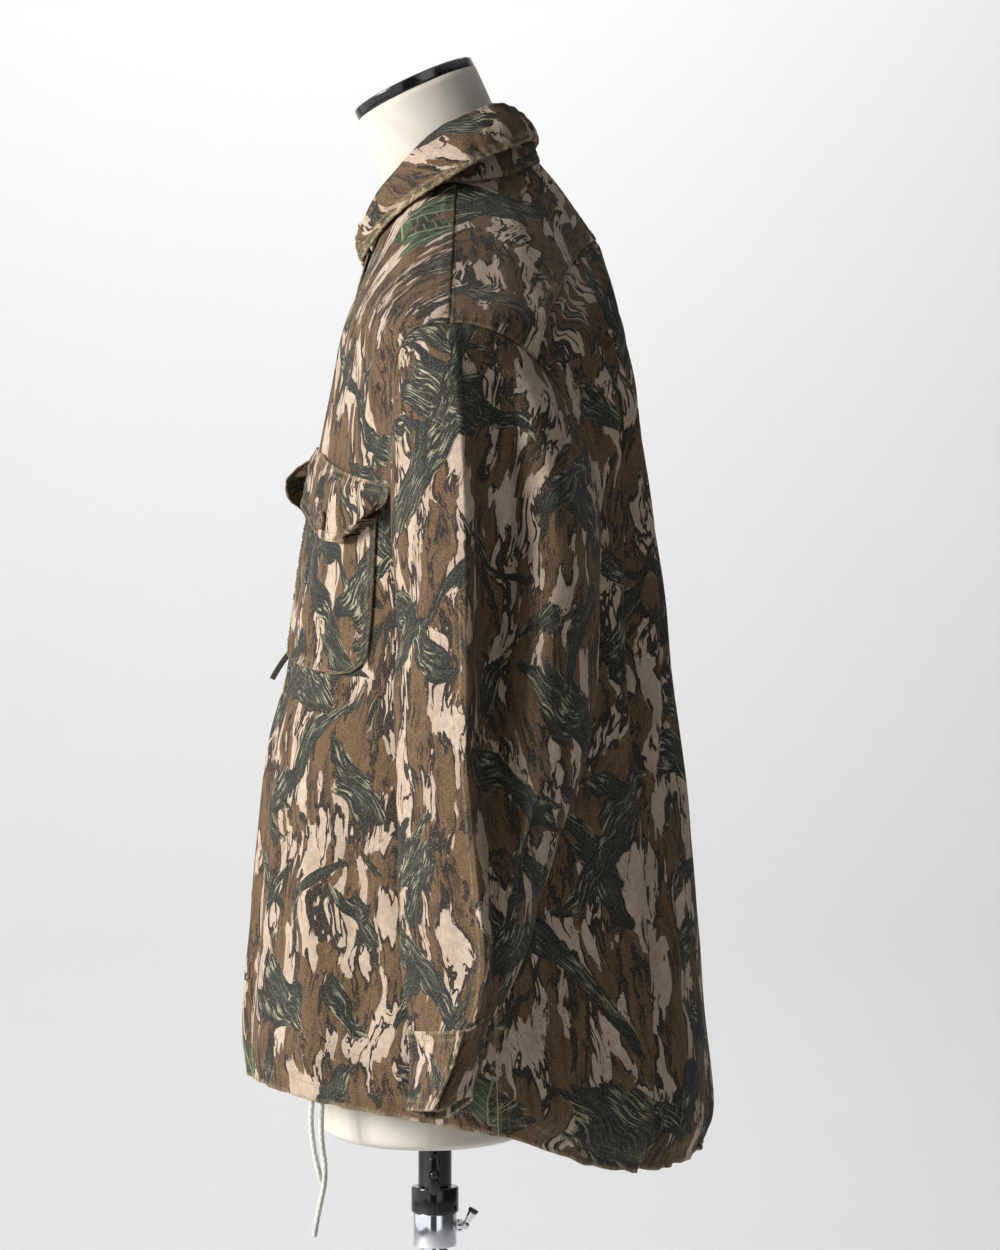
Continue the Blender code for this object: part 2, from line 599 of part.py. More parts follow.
def sleeve_section(angle, z):
    """Outer point of the left sleeve's own section, at an angle round it and a level. Both are flat arrays."""
    c = {name: column(SLEEVE, SLEEVE_COLUMNS, name, z) for name in SLEEVE_COLUMNS[1:]}
    middle = (c["front_y"] + c["rear_y"]) / 2
    xs = np.stack((
        c["ridge_x"],
        c["front_x"],
        c["inner_x"] + 0.30 * (c["front_x"] - c["inner_x"]),
        c["inner_x"],
        c["inner_x"] + 0.25 * (c["rear_x"] - c["inner_x"]),
        c["rear_x"],
        c["lobe_x"],
        c["valley_x"],
    ), axis=-1)
    ys = np.stack((
        c["ridge_y"],
        c["front_y"],
        middle + 0.72 * (c["front_y"] - middle),
        middle,
        middle + 0.72 * (c["rear_y"] - middle),
        c["rear_y"],
        c["lobe_y"],
        c["valley_y"],
    ), axis=-1)
    x = ring_read(SLEEVE_KEYS, xs, angle)
    y = ring_read(SLEEVE_KEYS, ys, angle)
    return np.stack((x, y, z), axis=-1)


def sleeve_grid():
    """The left sleeve: lines from the armhole swing into the sleeve's sections and run down to the cuff."""
    angle = np.arange(2 * ARMHOLE_STEPS) * 180.0 / ARMHOLE_STEPS
    turns, top_z = armhole(angle)
    start = plain_body(turns, top_z)
    under = smooth_step((SHOULDER_Z - top_z) / (SHOULDER_Z - ARMPIT_Z))
    middle_y = (start[:, 1] - body("ridge_y", top_z))
    outward = np.stack((np.full(angle.shape, 1.0), middle_y * 2.0, 0 * angle), axis=-1)
    outward = outward / np.linalg.norm(outward, axis=-1, keepdims=True)
    start = start + outward * (SLEEVE_STEP_TOP + (SLEEVE_STEP_LOW - SLEEVE_STEP_TOP) * under)[:, None]
    down = np.linspace(0.0, 1.0, SLEEVE_ROWS + 1)[:, None] ** 1.25
    z = top_z - SLEEVE_DROP + (SLEEVE_END_Z - top_z + SLEEVE_DROP) * down
    wide_angle = np.broadcast_to(angle, z.shape)
    target = sleeve_section(wide_angle.ravel(), z.ravel()).reshape(*z.shape, 3)
    at_top = sleeve_section(angle, top_z)
    fade = np.exp(-(top_z - z) / SLEEVE_SETTLE)[..., None]
    grid = target
    grid[..., :2] += ((start - at_top)[None] * fade)[..., :2]
    return grid


def cuff_grid():
    angle = np.arange(CUFF_SEGMENTS) * 360.0 / CUFF_SEGMENTS
    z = np.linspace(CUFF_TOP_Z, CUFF_LOW_Z, 3)[:, None] + 0 * angle
    flat_z = z.ravel()
    c = {name: np.interp(flat_z, CUFF[:, 0], CUFF[:, CUFF_COLUMNS.index(name)]) for name in CUFF_COLUMNS[1:]}
    middle = (c["front_y"] + c["rear_y"]) / 2
    xs = np.stack((c["ridge_x"], c["front_x"], c["inner_x"], c["rear_x"]), axis=-1)
    ys = np.stack((c["ridge_y"], c["front_y"], middle, c["rear_y"]), axis=-1)
    flat_angle = np.broadcast_to(angle, z.shape).ravel()
    x = ring_read(CUFF_KEYS, xs, flat_angle)
    y = ring_read(CUFF_KEYS, ys, flat_angle)
    return np.stack((x, y, flat_z), axis=-1).reshape(*z.shape, 3)


def collar_point(kind, angle):
    """Fold line or leaf edge at angles from 0 at the front to 180 at the back, negative on the right side."""
    size = np.clip(np.abs(angle), COLLAR[0, 0], 180.0)
    x = column(COLLAR, COLLAR_COLUMNS, kind + "_x", size) * np.sign(angle)
    y = column(COLLAR, COLLAR_COLUMNS, kind + "_y", size)
    z = column(COLLAR, COLLAR_COLUMNS, kind + "_z", size)
    return np.stack((x, y, z), axis=-1)


def round_the_neck(count):
    """Angles from the left front edge of the collar, behind the neck, to the right one."""
    half = np.linspace(COLLAR[0, 0], 180.0, count // 2 + 1)
    return np.concatenate((half, -half[-2::-1]))


def stand_grid():
    angles = round_the_neck(STAND_COLUMNS)
    turns, levels = neckline(np.abs(angles))
    foot = plain_body(turns, levels) + np.array((0.0, 0.0, STAND_CLEAR))
    foot[:, 0] *= np.sign(angles)
    top = collar_point("fold", angles) + np.array((0.0, 0.0, -0.0050))
    share = np.linspace(1.0, 0.0, STAND_ROWS + 1)[:, None, None]
    return foot[None] + (top - foot)[None] * share


def leaf_grid():
    """The collar leaf: up from the stand, over the fold and down to its stitched edge."""
    angles = round_the_neck(LEAF_COLUMNS)
    fold = collar_point("fold", angles)
    edge = collar_point("edge", angles)
    centre = np.array((0.0, NECK_Y, 0.0))
    outward = fold - centre
    outward[:, 2] = 0.0
    outward = outward / np.linalg.norm(outward, axis=1, keepdims=True)
    shoulder = fold + outward * LEAF_CLEAR + np.array((0.0, 0.0, -0.0020))
    rows = [fold + np.array((0.0, 0.0, -0.0040)), fold + outward * 0.0012, shoulder]
    for k in range(1, LEAF_ROWS):
        share = k / (LEAF_ROWS - 1)
        bow = 0.0030 * 4 * share * (1 - share)
        rows.append(shoulder + (edge - shoulder) * share + outward * bow)
    return np.stack(rows)


def placket_grid():
    z = np.linspace(float(neck_level(0.0)) - 0.002, float(hem_z(0.0)) + 0.001, 18)[:, None]
    x = np.linspace(-PLACKET_HALF, PLACKET_HALF, 3)[None, :]
    turn = turn_at_x(x + 0 * z, z + 0 * x)
    return lift(body_surface(turn, z + 0 * x), LAYER_GAP + CLOTH)


def patch_grid(corners, cells):
    """Front-view points (x, z) of a patch between four corners, with its lower corners eased in."""
    (x0, z0), (x1, z1), (x2, z2), (x3, z3) = corners
    u = np.linspace(0.0, 1.0, cells + 1)[None, :]
    v = np.linspace(0.0, 1.0, cells + 1)[:, None]
    x = (x0 + (x1 - x0) * u) * (1 - v) + (x3 + (x2 - x3) * u) * v
    z = (z0 + (z1 - z0) * u) * (1 - v) + (z3 + (z2 - z3) * u) * v
    ease = np.clip((v - 0.83) / 0.17, 0.0, 1.0)
    middle = (x3 + x2) / 2
    return x + (middle - x) * 0.22 * ease * np.abs(2 * u - 1) ** 4, z


def pocket_grid():
    x, z = patch_grid(POCKET_CORNERS, POCKET_CELLS)
    surface = body_surface(turn_at_x(x, z), z)
    return lift(surface, LAYER_GAP + POCKET_CLOTH)


def flap_grid(left):
    """A pocket flap, sewn at its top and pointed below. One lower corner curls away from the chest."""
    rows, columns = FLAP_CELLS
    u = np.linspace(0.0, 1.0, columns + 1)[None, :]
    v = np.linspace(0.0, 1.0, rows + 1)[:, None]
    (x0, z0), (x1, z1) = FLAP_TOP
    drop = FLAP_DROP + FLAP_POINT * (1 - np.abs(2 * u - 1))
    x = x0 + (x1 - x0) * u + 0 * v
    z = z0 + (z1 - z0) * u - drop * v
    surface = body_surface(turn_at_x(x, z), z)
    corner = smooth_step((u - 0.45) / 0.55) if left else smooth_step((0.60 - u) / 0.60)
    curl = FLAP_CURL_LEFT if left else FLAP_CURL_RIGHT
    stand_off = 2 * (LAYER_GAP + POCKET_CLOTH) + FLAP_CLEAR + curl * corner * np.sin(v * 2.2) ** 2
    grid = lift(surface, stand_off)
    return grid if left else mirrored(grid)


def build_jacket(parts):
    cloth_piece("back_panel", back_grid(), parts)
    cloth_piece("back_yoke", yoke_grid(), parts)
    cloth_piece("front_left", front_grid(True), parts)
    cloth_piece("front_right", front_grid(False), parts, flip=True)
    cloth_piece("front_placket", placket_grid(), parts)
    cloth_piece("collar_stand", stand_grid(), parts)
    cloth_piece("collar_leaf", leaf_grid(), parts)
    for side, mirror in (("left", False), ("right", True)):
        sleeve = sleeve_grid()
        cuff = cuff_grid()
        pocket = pocket_grid()
        if mirror:
            sleeve = mirrored(sleeve)
            cuff = mirrored(cuff)
            pocket = mirrored(pocket)
        cloth_piece("sleeve_" + side, sleeve, parts, closed=True, flip=not mirror)
        cloth_piece("cuff_" + side, cuff, parts, thickness=CUFF_CLOTH, closed=True, flip=not mirror)
        cloth_piece("pocket_" + side, pocket, parts, thickness=POCKET_CLOTH, flip=mirror)
        cloth_piece("pocket_flap_" + side, flap_grid(not mirror), parts, thickness=POCKET_CLOTH, flip=mirror)


def turned(name, profile, sides, material_name, parts, matrix=None):
    """A solid turned about Z from (radius, height) points that run from the top down its outer side."""
    mesh = bpy.data.meshes.new(name)
    points = [(radius, 0.0, height) for radius, height in profile]
    mesh.from_pydata(points, [(i, i + 1) for i in range(len(points) - 1)], [])
    item = place(name, mesh, material_name, parts)
    spin = item.modifiers.new("turn", "SCREW")
    spin.steps = sides
    spin.render_steps = sides
    spin.use_merge_vertices = True
    spin.merge_threshold = 0.00001
    spin.use_smooth_shade = True
    if matrix is not None:
        item.matrix_world = matrix
    return item


def tube(name, outer, inner, low, high, material_name, parts):
    """A pipe about the pole's axis: its profile runs down the outside and up the bore, and closes on itself."""
    profile = ((inner, high), (outer, high), (outer, low), (inner, low), (inner, high))
    mesh = bpy.data.meshes.new(name)
    points = [(radius, 0.0, height) for radius, height in profile[:-1]]
    mesh.from_pydata(points, [(0, 1), (1, 2), (2, 3), (3, 0)], [])
    item = place(name, mesh, material_name, parts)
    spin = item.modifiers.new("turn", "SCREW")
    spin.steps = ROUND_SIDES
    spin.render_steps = ROUND_SIDES
    spin.use_merge_vertices = True
    spin.merge_threshold = 0.00001
    return item


def facing(point, normal):
    """A matrix that puts local Z along the normal at the point."""
    turn = Vector(normal).to_track_quat("Z", "Y").to_matrix().to_4x4()
    return Matrix.Translation(Vector(point)) @ turn


def grid_place(grid, row, col, flip=False):
    """Point and outward normal of a grid at a fractional row and column."""
    i, j = int(row), int(col)
    fi, fj = row - i, col - j
    corners = grid[i, j], grid[i + 1, j], grid[i, j + 1], grid[i + 1, j + 1]
    point = (
        corners[0] * (1 - fi) * (1 - fj)
        + corners[1] * fi * (1 - fj)
        + corners[2] * (1 - fi) * fj
        + corners[3] * fi * fj
    )
    down = corners[1] - corners[0] + corners[3] - corners[2]
    across = corners[2] - corners[0] + corners[3] - corners[1]
    normal = np.cross(down, across)
    normal = normal / np.linalg.norm(normal)
    return point, -normal if flip else normal


def button(name, point, normal, parts, clearance=0.0006):
    """A round button with a raised rim, lying just off the cloth."""
    rim = BUTTON_RADIUS
    profile = (
        (0.0, BUTTON_HEIGHT * 0.72),
        (rim * 0.62, BUTTON_HEIGHT * 0.72),
        (rim * 0.80, BUTTON_HEIGHT),
        (rim * 0.95, BUTTON_HEIGHT * 0.92),
        (rim, BUTTON_HEIGHT * 0.55),
        (rim * 0.86, 0.0),
        (0.0, 0.0),
    )
    start = np.asarray(point) + np.asarray(normal) * clearance
    turned(name, profile, BUTTON_SIDES, "button", parts, facing(start, normal))


def build_buttons(parts):
    grid = placket_grid()
    levels = grid[:, 1, 2]
    for number, level in enumerate(BUTTON_LEVELS, start=1):
        row = float(np.interp(-level, -levels, np.arange(len(levels))))
        point, normal = grid_place(grid, row, 0.999)
        button(f"button_front_{number}", point, normal, parts)
    for side, left in (("left", True), ("right", False)):
        flap = flap_grid(left)
        point, normal = grid_place(flap, 2.9, 3.0 if left else 3.6, flip=not left)
        button("button_pocket_" + side, point, normal, parts, clearance=0.0012)
        cuff = cuff_grid()
        point, normal = grid_place(cuff, 1.0, 16.0, flip=True)
        if not left:
            point = point * np.array((-1.0, 1.0, 1.0))
            normal = normal * np.array((-1.0, 1.0, 1.0))
        button("button_cuff_" + side, point, normal, parts, clearance=0.0010)


def build_tab(parts):
    """The short folded strip sewn into the placket's seam: a flat band along a bent line."""
    share = np.linspace(0.0, 1.0, 7)[:, None]
    start, bend, end = (np.array(p) for p in (TAB_START, TAB_BEND, TAB_END))
    line = start * (1 - share) ** 2 + bend * 2 * share * (1 - share) + end * share ** 2
    along = np.gradient(line, axis=0)
    along = along / np.linalg.norm(along, axis=1, keepdims=True)
    side = np.cross(along, np.array((1.0, 0.0, 0.0)))
    grid = np.stack((line - side * TAB_WIDTH / 2, line + side * TAB_WIDTH / 2), axis=1)
    cloth_piece("front_tab", grid, parts, thickness=TAB_THICK, flip=True)


def cord(name, route, parts):
    """A round cord along a smooth curve through its route's points."""
    points = np.array(route)
    steps = np.linalg.norm(np.diff(points, axis=0), axis=1)
    run = np.concatenate(((0.0,), np.cumsum(steps)))
    count = int(round(run[-1] / CORD_STEP)) + 1
    at = np.linspace(0.0, run[-1], count)
    line = np.stack([smooth_read(run, points[:, k], at) for k in range(3)], axis=-1)
    curve = bpy.data.curves.new(name, "CURVE")
    curve.dimensions = "3D"
    curve.bevel_depth = CORD_RADIUS
    curve.bevel_resolution = 2
    curve.use_fill_caps = True
    spline = curve.splines.new("POLY")
    spline.points.add(count - 1)
    for target, place_at in zip(spline.points, line):
        target.co = (*place_at, 1.0)
    curve.materials.append(material("cotton_cord"))
    parts.objects.link(bpy.data.objects.new(name, curve))


def build_drawstring(parts):
    """The outlet patch inside the hem and the two free ends that hang from it."""
    here = body_surface(np.array(OUTLET_TURN), np.array(OUTLET_Z))
    beside = body_surface(np.array(OUTLET_TURN + 0.02), np.array(OUTLET_Z))
    tangent = (beside - here) / np.linalg.norm(beside - here)
    normal = np.array((tangent[1], -tangent[0], 0.0))
    width, height, depth = OUTLET_SIZE
    centre = here - normal * (CLOTH + OUTLET_CLEAR + depth / 2)
    mesh = bpy.data.meshes.new("drawstring_outlet")
    block = bmesh.new()
    bmesh.ops.create_cube(block, size=1.0)
    bmesh.ops.scale(block, vec=(width, height, depth), verts=block.verts)
    block.to_mesh(mesh)
    block.free()
    item = place("drawstring_outlet", mesh, "camo_cloth", parts)
    item.matrix_world = facing(centre, normal)
    cord("drawstring_short", CORD_SHORT_ROUTE, parts)
    cord("drawstring_long", CORD_LONG_ROUTE, parts)


def form_rings():
    """Rings of the dress form: each is a squarish oval between its front and back points."""
    angle = np.arange(FORM_SIDES) * 2 * math.pi / FORM_SIDES
    across = np.sign(np.sin(angle)) * np.abs(np.sin(angle)) ** (2 / FORM_POWER)
    along = np.sign(np.cos(angle)) * np.abs(np.cos(angle)) ** (2 / FORM_POWER)
    rings = []
    for front_y, front_z, back_y, back_z, half_width in FORM:
        y = (front_y + back_y) / 2 + (front_y - back_y) / 2 * along
        z = (front_z + back_z) / 2 + (front_z - back_z) / 2 * along
        rings.append(np.stack((half_width * across, y, z), axis=-1))
    return np.stack(rings)


def build_form(parts, cutters):
    """The form: a loft through its rings, closed at the hips and the neck, with a bore for its pipe."""
    rings = form_rings()
    count, sides = rings.shape[:2]
    mesh = grid_mesh("form_torso", rings, closed=True)
    whole = bmesh.new()
    whole.from_mesh(mesh)
    whole.verts.ensure_lookup_table()
    whole.faces.new([whole.verts[k] for k in range(sides)])
    whole.faces.new([whole.verts[(count - 1) * sides + k] for k in reversed(range(sides))])
    bmesh.ops.recalc_face_normals(whole, faces=whole.faces)
    whole.to_mesh(mesh)
    whole.free()
    torso = place("form_torso", mesh, "cream_cover", parts)
    bpy.ops.mesh.primitive_cylinder_add(
        vertices=ROUND_SIDES,
        radius=FORM_BORE,
        depth=FORM_BORE_TOP_Z - 0.6,
        location=(0.0, 0.0, (FORM_BORE_TOP_Z + 0.6) / 2),
    )
    bore = bpy.context.object
    bore.name = "cutter_form_bore"
    bore.hide_render = True
    bore.display_type = "WIRE"
    for home in list(bore.users_collection):
        home.objects.unlink(bore)
    cutters.objects.link(bore)
    cut = torso.modifiers.new("pipe bore", "BOOLEAN")
    cut.operation = "DIFFERENCE"
    cut.object = bore
    top_front = Vector((0.0, FORM[-1, 0], FORM[-1, 1]))
    top_back = Vector((0.0, FORM[-1, 2], FORM[-1, 3]))
    slope = top_back - top_front
    normal = Vector((0.0, -slope.z, slope.y)).normalized()
    cap_profile = (
        (0.0, CAP_HEIGHT),
        (CAP_RADIUS - CAP_BEVEL, CAP_HEIGHT),
        (CAP_RADIUS, CAP_HEIGHT - CAP_BEVEL),
        (CAP_RADIUS, CAP_BEVEL),
        (CAP_RADIUS - CAP_BEVEL, 0.0),
        (0.0, 0.0),
    )
    centre = (top_front + top_back) / 2 + normal * SEAM_GAP
    turned("neck_cap", cap_profile, ROUND_SIDES, "black_gloss", parts, facing(centre, normal))


def build_stand(parts):
    tube("form_pipe", PIPE_RADIUS, PIPE_BORE, PIPE_LOW_Z, PIPE_TOP_Z, "black_gloss", parts)
    tube("ring_collar", RING_RADIUS, TUBE_BORE, RING_LOW_Z + SEAM_GAP, PIPE_LOW_Z - SEAM_GAP, "black_gloss", parts)
    tube("clamp_sleeve", SLEEVE_TUBE_RADIUS, TUBE_BORE, SLEEVE_TUBE_LOW_Z, RING_LOW_Z, "chrome", parts)
    pole = (
        (0.0, POLE_TOP_Z),
        (POLE_RADIUS - 0.0008, POLE_TOP_Z),
        (POLE_RADIUS, POLE_TOP_Z - 0.0008),
        (POLE_RADIUS, HUB_HEIGHT + SEAM_GAP),
        (0.0, HUB_HEIGHT + SEAM_GAP),
    )
    turned("stand_pole", pole, ROUND_SIDES, "chrome", parts)
    base = (
        (0.0, HUB_HEIGHT),
        (HUB_RADIUS - 0.004, HUB_HEIGHT),
        (HUB_RADIUS - 0.001, HUB_HEIGHT - 0.003),
        (HUB_RADIUS, BASE_HEIGHT + 0.010),
        (HUB_RADIUS + 0.010, BASE_HEIGHT + 0.002),
        (BASE_RADIUS - 0.006, BASE_HEIGHT - 0.002),
        (BASE_RADIUS, BASE_HEIGHT - 0.006),
        (BASE_RADIUS, 0.0015),
        (BASE_RADIUS - 0.0015, 0.0),
        (0.0, 0.0),
    )
    turned("base_plate", base, 64, "base_paint", parts)


def build_screws(parts):
    """The clamp screw behind the chrome sleeve, and the wing bolt on the form's pipe towards the wearer's left."""
    screw = (
        (0.0, 0.0165),
        (0.0016, 0.0160),
        (0.0048, 0.0085),
        (0.0052, 0.0064),
        (0.0036, 0.0060),
        (0.0036, 0.0046),
        (0.0055, 0.0042),
        (0.0055, 0.0),
        (0.0, 0.0),
    )
    start = (0.0, SLEEVE_TUBE_RADIUS + SEAM_GAP, SCREW_Z)
    turned("clamp_screw", screw, BUTTON_SIDES, "chrome", parts, facing(start, (0.0, 1.0, 0.0)))
    mesh = bpy.data.meshes.new("wing_bolt")
    made = bmesh.new()
    angles = np.linspace(0.0, 2 * math.pi, 24, endpoint=False)
    reach = WING_WAIST + (WING_REACH - WING_WAIST) * np.abs(np.cos(angles)) ** 3
    for level in (WING_START, WING_START + WING_THICK):
        for angle, radius in zip(angles, reach):
            made.verts.new((radius * math.sin(angle), radius * math.cos(angle), level))
    made.verts.ensure_lookup_table()
    total = len(angles)
    made.faces.new([made.verts[k] for k in range(total)])
    made.faces.new([made.verts[total + k] for k in reversed(range(total))])
    for k in range(total):
        after = (k + 1) % total
        made.faces.new((made.verts[k], made.verts[total + k], made.verts[total + after], made.verts[after]))
    bmesh.ops.recalc_face_normals(made, faces=made.faces)
    made.to_mesh(mesh)
    made.free()
    wing = place("wing_bolt", mesh, "black_gloss", parts)
    bpy.ops.mesh.primitive_cylinder_add(vertices=16, radius=SHANK_RADIUS, depth=SHANK_LENGTH)
    shank = bpy.context.object
    shank.name = "cutter_wing_shank"
    shank.hide_render = True
    shank.display_type = "WIRE"
    join = wing.modifiers.new("shank", "BOOLEAN")
    join.operation = "UNION"
    join.object = shank
    matrix = facing((PIPE_RADIUS + 0.0006, 0.0, WING_Z), (1.0, 0.0, 0.0))
    wing.matrix_world = matrix
    shank.matrix_world = matrix @ Matrix.Translation(Vector((0.0, 0.0, SHANK_LENGTH / 2)))
    return shank


def main():
    clear_scene()
    parts = bpy.data.collections.new(COLLECTION)
    cutters = bpy.data.collections.new("cutters")
    bpy.context.scene.collection.children.link(parts)
    bpy.context.scene.collection.children.link(cutters)
    build_jacket(parts)
    build_buttons(parts)
    build_tab(parts)
    build_drawstring(parts)
    build_form(parts, cutters)
    build_stand(parts)
    shank = build_screws(parts)
    for home in list(shank.users_collection):
        home.objects.unlink(shank)
    cutters.objects.link(shank)


main()
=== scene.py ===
import math

import bpy
import numpy as np
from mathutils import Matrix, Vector


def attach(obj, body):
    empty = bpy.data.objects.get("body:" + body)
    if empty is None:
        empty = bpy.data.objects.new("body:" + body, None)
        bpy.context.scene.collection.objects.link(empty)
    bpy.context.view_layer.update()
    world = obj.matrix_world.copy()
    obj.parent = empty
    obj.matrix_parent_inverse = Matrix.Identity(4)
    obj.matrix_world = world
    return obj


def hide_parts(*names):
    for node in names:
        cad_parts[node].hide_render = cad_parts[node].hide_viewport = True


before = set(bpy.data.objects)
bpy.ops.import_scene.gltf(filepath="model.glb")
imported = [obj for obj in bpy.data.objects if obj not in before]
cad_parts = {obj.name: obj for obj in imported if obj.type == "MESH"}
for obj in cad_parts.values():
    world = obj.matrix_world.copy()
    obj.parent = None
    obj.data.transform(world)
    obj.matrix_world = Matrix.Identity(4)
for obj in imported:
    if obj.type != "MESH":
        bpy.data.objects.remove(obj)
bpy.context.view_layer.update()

# the jacket faces -Y, the wearer's left is +X and the pole stands at x = y = 0, all in metres

cameraSet = {"place": (3.2, 0.052, 1.148), "lens": 115.2, "turn": (90.0, 0.0, 90.0)}

eye = bpy.data.cameras.new("photoCamera")
eye.lens = cameraSet["lens"]
eye.sensor_width = 36.0
eyeHolder = bpy.data.objects.new("photoCamera", eye)
eyeHolder.location = cameraSet["place"]
eyeHolder.rotation_euler = [math.radians(v) for v in cameraSet["turn"]]
bpy.context.scene.collection.objects.link(eyeHolder)
bpy.context.scene.camera = eyeHolder


# reading curves, and grids of points

def smoothStep(x):
    # 3x squared less 2x cubed, held between 0 and 1
    x = np.clip(x, 0.0, 1.0)
    return x * x * (3 - 2 * x)


def bell(away, half):
    # e to the power of less the square of away over half
    return np.exp(-(away / half) ** 2)


def unit(vectors):
    # each vector over its own length
    return vectors / np.linalg.norm(vectors, axis=-1, keepdims=True)


def easeRead(keys, values, at):
    # a cubic through (keys, values), its slope at each key taken from the neighbours; values may hold points
    keys = np.asarray(keys, float)
    values = np.asarray(values, float)
    at = np.clip(np.asarray(at, float), keys[0], keys[-1])
    slopes = np.gradient(values, keys, axis=0)
    low = np.clip(np.searchsorted(keys, at, side="right") - 1, 0, len(keys) - 2)
    width = keys[low + 1] - keys[low]
    s = (at - keys[low]) / width
    if values.ndim > 1:
        grow = (...,) + (None,) * (values.ndim - 1)
        s = s[grow]
        width = width[grow]
    return (values[low] * (1 + 2 * s) * (1 - s) ** 2 + values[low + 1] * s * s * (3 - 2 * s)
            + width * slopes[low] * s * (1 - s) ** 2 - width * slopes[low + 1] * s * s * (1 - s))


def runAlong(points):
    # distance travelled from the first point, along axis 0
    steps = np.linalg.norm(np.diff(points, axis=0), axis=-1)
    return np.concatenate((np.zeros((1,) + steps.shape[1:]), np.cumsum(steps, axis=0)))


def gridNormals(grid, closed=False):
    # cross product of the way down a column and the way along a row
    down = np.gradient(grid, axis=0)
    if closed:
        across = np.roll(grid, -1, axis=1) - np.roll(grid, 1, axis=1)
    else:
        across = np.gradient(grid, axis=1)
    normal = np.cross(down, across)
    return normal / np.maximum(np.linalg.norm(normal, axis=-1, keepdims=True), 1e-12)


def outwardGrid(grid, core, closed=False):
    # columns are turned round if the grid's normals point at the core instead of away from it
    facing = np.sum(gridNormals(grid, closed) * (grid - np.asarray(core)), axis=-1)
    return grid if (facing > 0).mean() > 0.5 else grid[:, ::-1]


def lift(grid, height, closed=False):
    # each point moved along its own normal by its own height
    return grid + gridNormals(grid, closed) * np.broadcast_to(height, grid.shape[:2])[..., None]


def liftOutward(grid, height, core, closed=False):
    # a lift away from the core; the heights are turned round with the columns
    facing = outwardGrid(grid, core, closed)
    return lift(facing, height if facing is grid else height[:, ::-1], closed)


def mirrored(grid):
    # the same piece for the other side; its columns are turned round so that it still faces outwards
    return (grid * np.array((-1.0, 1.0, 1.0)))[:, ::-1]


def sharesDown(steps):
    # even shares from 0 to 1, down a column
    return np.linspace(0.0, 1.0, steps + 1)[:, None]


def sharesAcross(steps):
    # even shares from 0 to 1, along a row
    return np.linspace(0.0, 1.0, steps + 1)[None, :]


def unevenWave(s, pitch, seed):
    # four sine waves of unlike length added, about one high and one low for each pitch
    draw = np.random.default_rng(seed)
    total = 0.0 * s
    for factor in (0.62, 0.87, 1.0, 1.53):
        wave = np.sin(s * 2 * math.pi / (pitch * factor) + draw.uniform(0, 6.28))
        total = total + wave * draw.uniform(0.6, 1.1)
    return total / 2.2


def unevenField(a, b, sizeA, sizeB, seed, waves=9):
    # plane waves of unlike heading and length added; the sizes are the usual wave length each way
    draw = np.random.default_rng(seed)
    total = 0.0 * (a + b)
    for _ in range(waves):
        heading = draw.uniform(0, math.pi)
        stretch = draw.uniform(0.65, 1.7)
        phase = draw.uniform(0, 6.28)
        way = math.cos(heading) * a / sizeA + math.sin(heading) * b / sizeB
        total = total + np.sin(6.283 * way / stretch + phase)
    return total / waves * 2.0


def foldRun(across, level, fold):
    # one fold: a line through (place, level) points, a bell to each side of it, faded at both its ends
    places, levels = np.array(fold["line"], float).T
    centre = easeRead(-levels, places, -level)
    away = across - centre
    shape = bell(away, np.where(away < 0, fold["before"], fold["behind"]))
    fadeTop, fadeFoot = fold["fade"]
    return (fold["depth"] * shape * smoothStep((levels[0] - level) / fadeTop + 0.15)
            * smoothStep((level - levels[-1]) / fadeFoot + 0.15))


def foldSum(across, level, folds):
    # all the folds added
    total = np.zeros(np.broadcast(across, level).shape)
    for fold in folds:
        total = total + foldRun(across, level, fold)
    return total


def fold(depth, before, behind, fade, *line):
    # a fold's depth, half widths to each side, fades at its two ends, and the points of its line
    return {"depth": depth, "before": before, "behind": behind, "fade": fade, "line": line}


# meshes

def quadRows(index):
    # the corners of each face between the rows and columns of a grid of point numbers
    return np.stack((index[..., :-1, :-1], index[..., 1:, :-1], index[..., 1:, 1:],
            index[..., :-1, 1:]), axis=-1)


def newMesh(name, points, faces):
    # a smooth mesh of points and faces
    mesh = bpy.data.meshes.new(name)
    mesh.from_pydata(points.reshape(-1, 3).tolist(), [], faces)
    mesh.shade_smooth()
    return mesh


def flatten(grid, closed=False, at=(0.0, 0.0)):
    # the cloth's own flat sizes: distance along each row from its middle, and up each column from its foot
    wide = np.concatenate((grid, grid[:, :1]), axis=1) if closed else grid
    across = runAlong(wide.transpose(1, 0, 2)).T
    across = across - across[:, wide.shape[1] // 2:wide.shape[1] // 2 + 1]
    up = runAlong(wide[::-1])[::-1]
    return np.stack((across + at[0], up + at[1]), axis=-1)


def gridMesh(name, grid, flat=None, worn=None, closed=False, capped=False):
    # a sheet of quads with its flat sizes as a UV map, and its wear as an attribute
    rows, cols = grid.shape[:2]
    wide = cols + 1 if closed else cols
    point = np.arange(rows)[:, None] * cols + (np.arange(wide) % cols)[None, :]
    faces = quadRows(point).reshape(-1, 4).tolist()
    corners = quadRows(np.arange(rows * wide).reshape(rows, wide)).ravel()
    if capped:
        first = np.arange(cols)
        faces += [first.tolist(), ((rows - 1) * cols + first[::-1]).tolist()]
        corners = np.concatenate((corners, first, (rows - 1) * wide + first[::-1]))
    mesh = newMesh(name, grid, faces)
    if flat is not None:
        layer = mesh.uv_layers.new(name="flatCloth")
        layer.data.foreach_set("uv", flat.reshape(-1, 2)[corners].ravel())
    if worn is not None:
        mark = mesh.attributes.new("worn", "FLOAT", "POINT")
        mark.data.foreach_set("value", np.clip(np.broadcast_to(worn, (rows, cols)), 0,
                1).astype(np.float32).ravel())
    return mesh


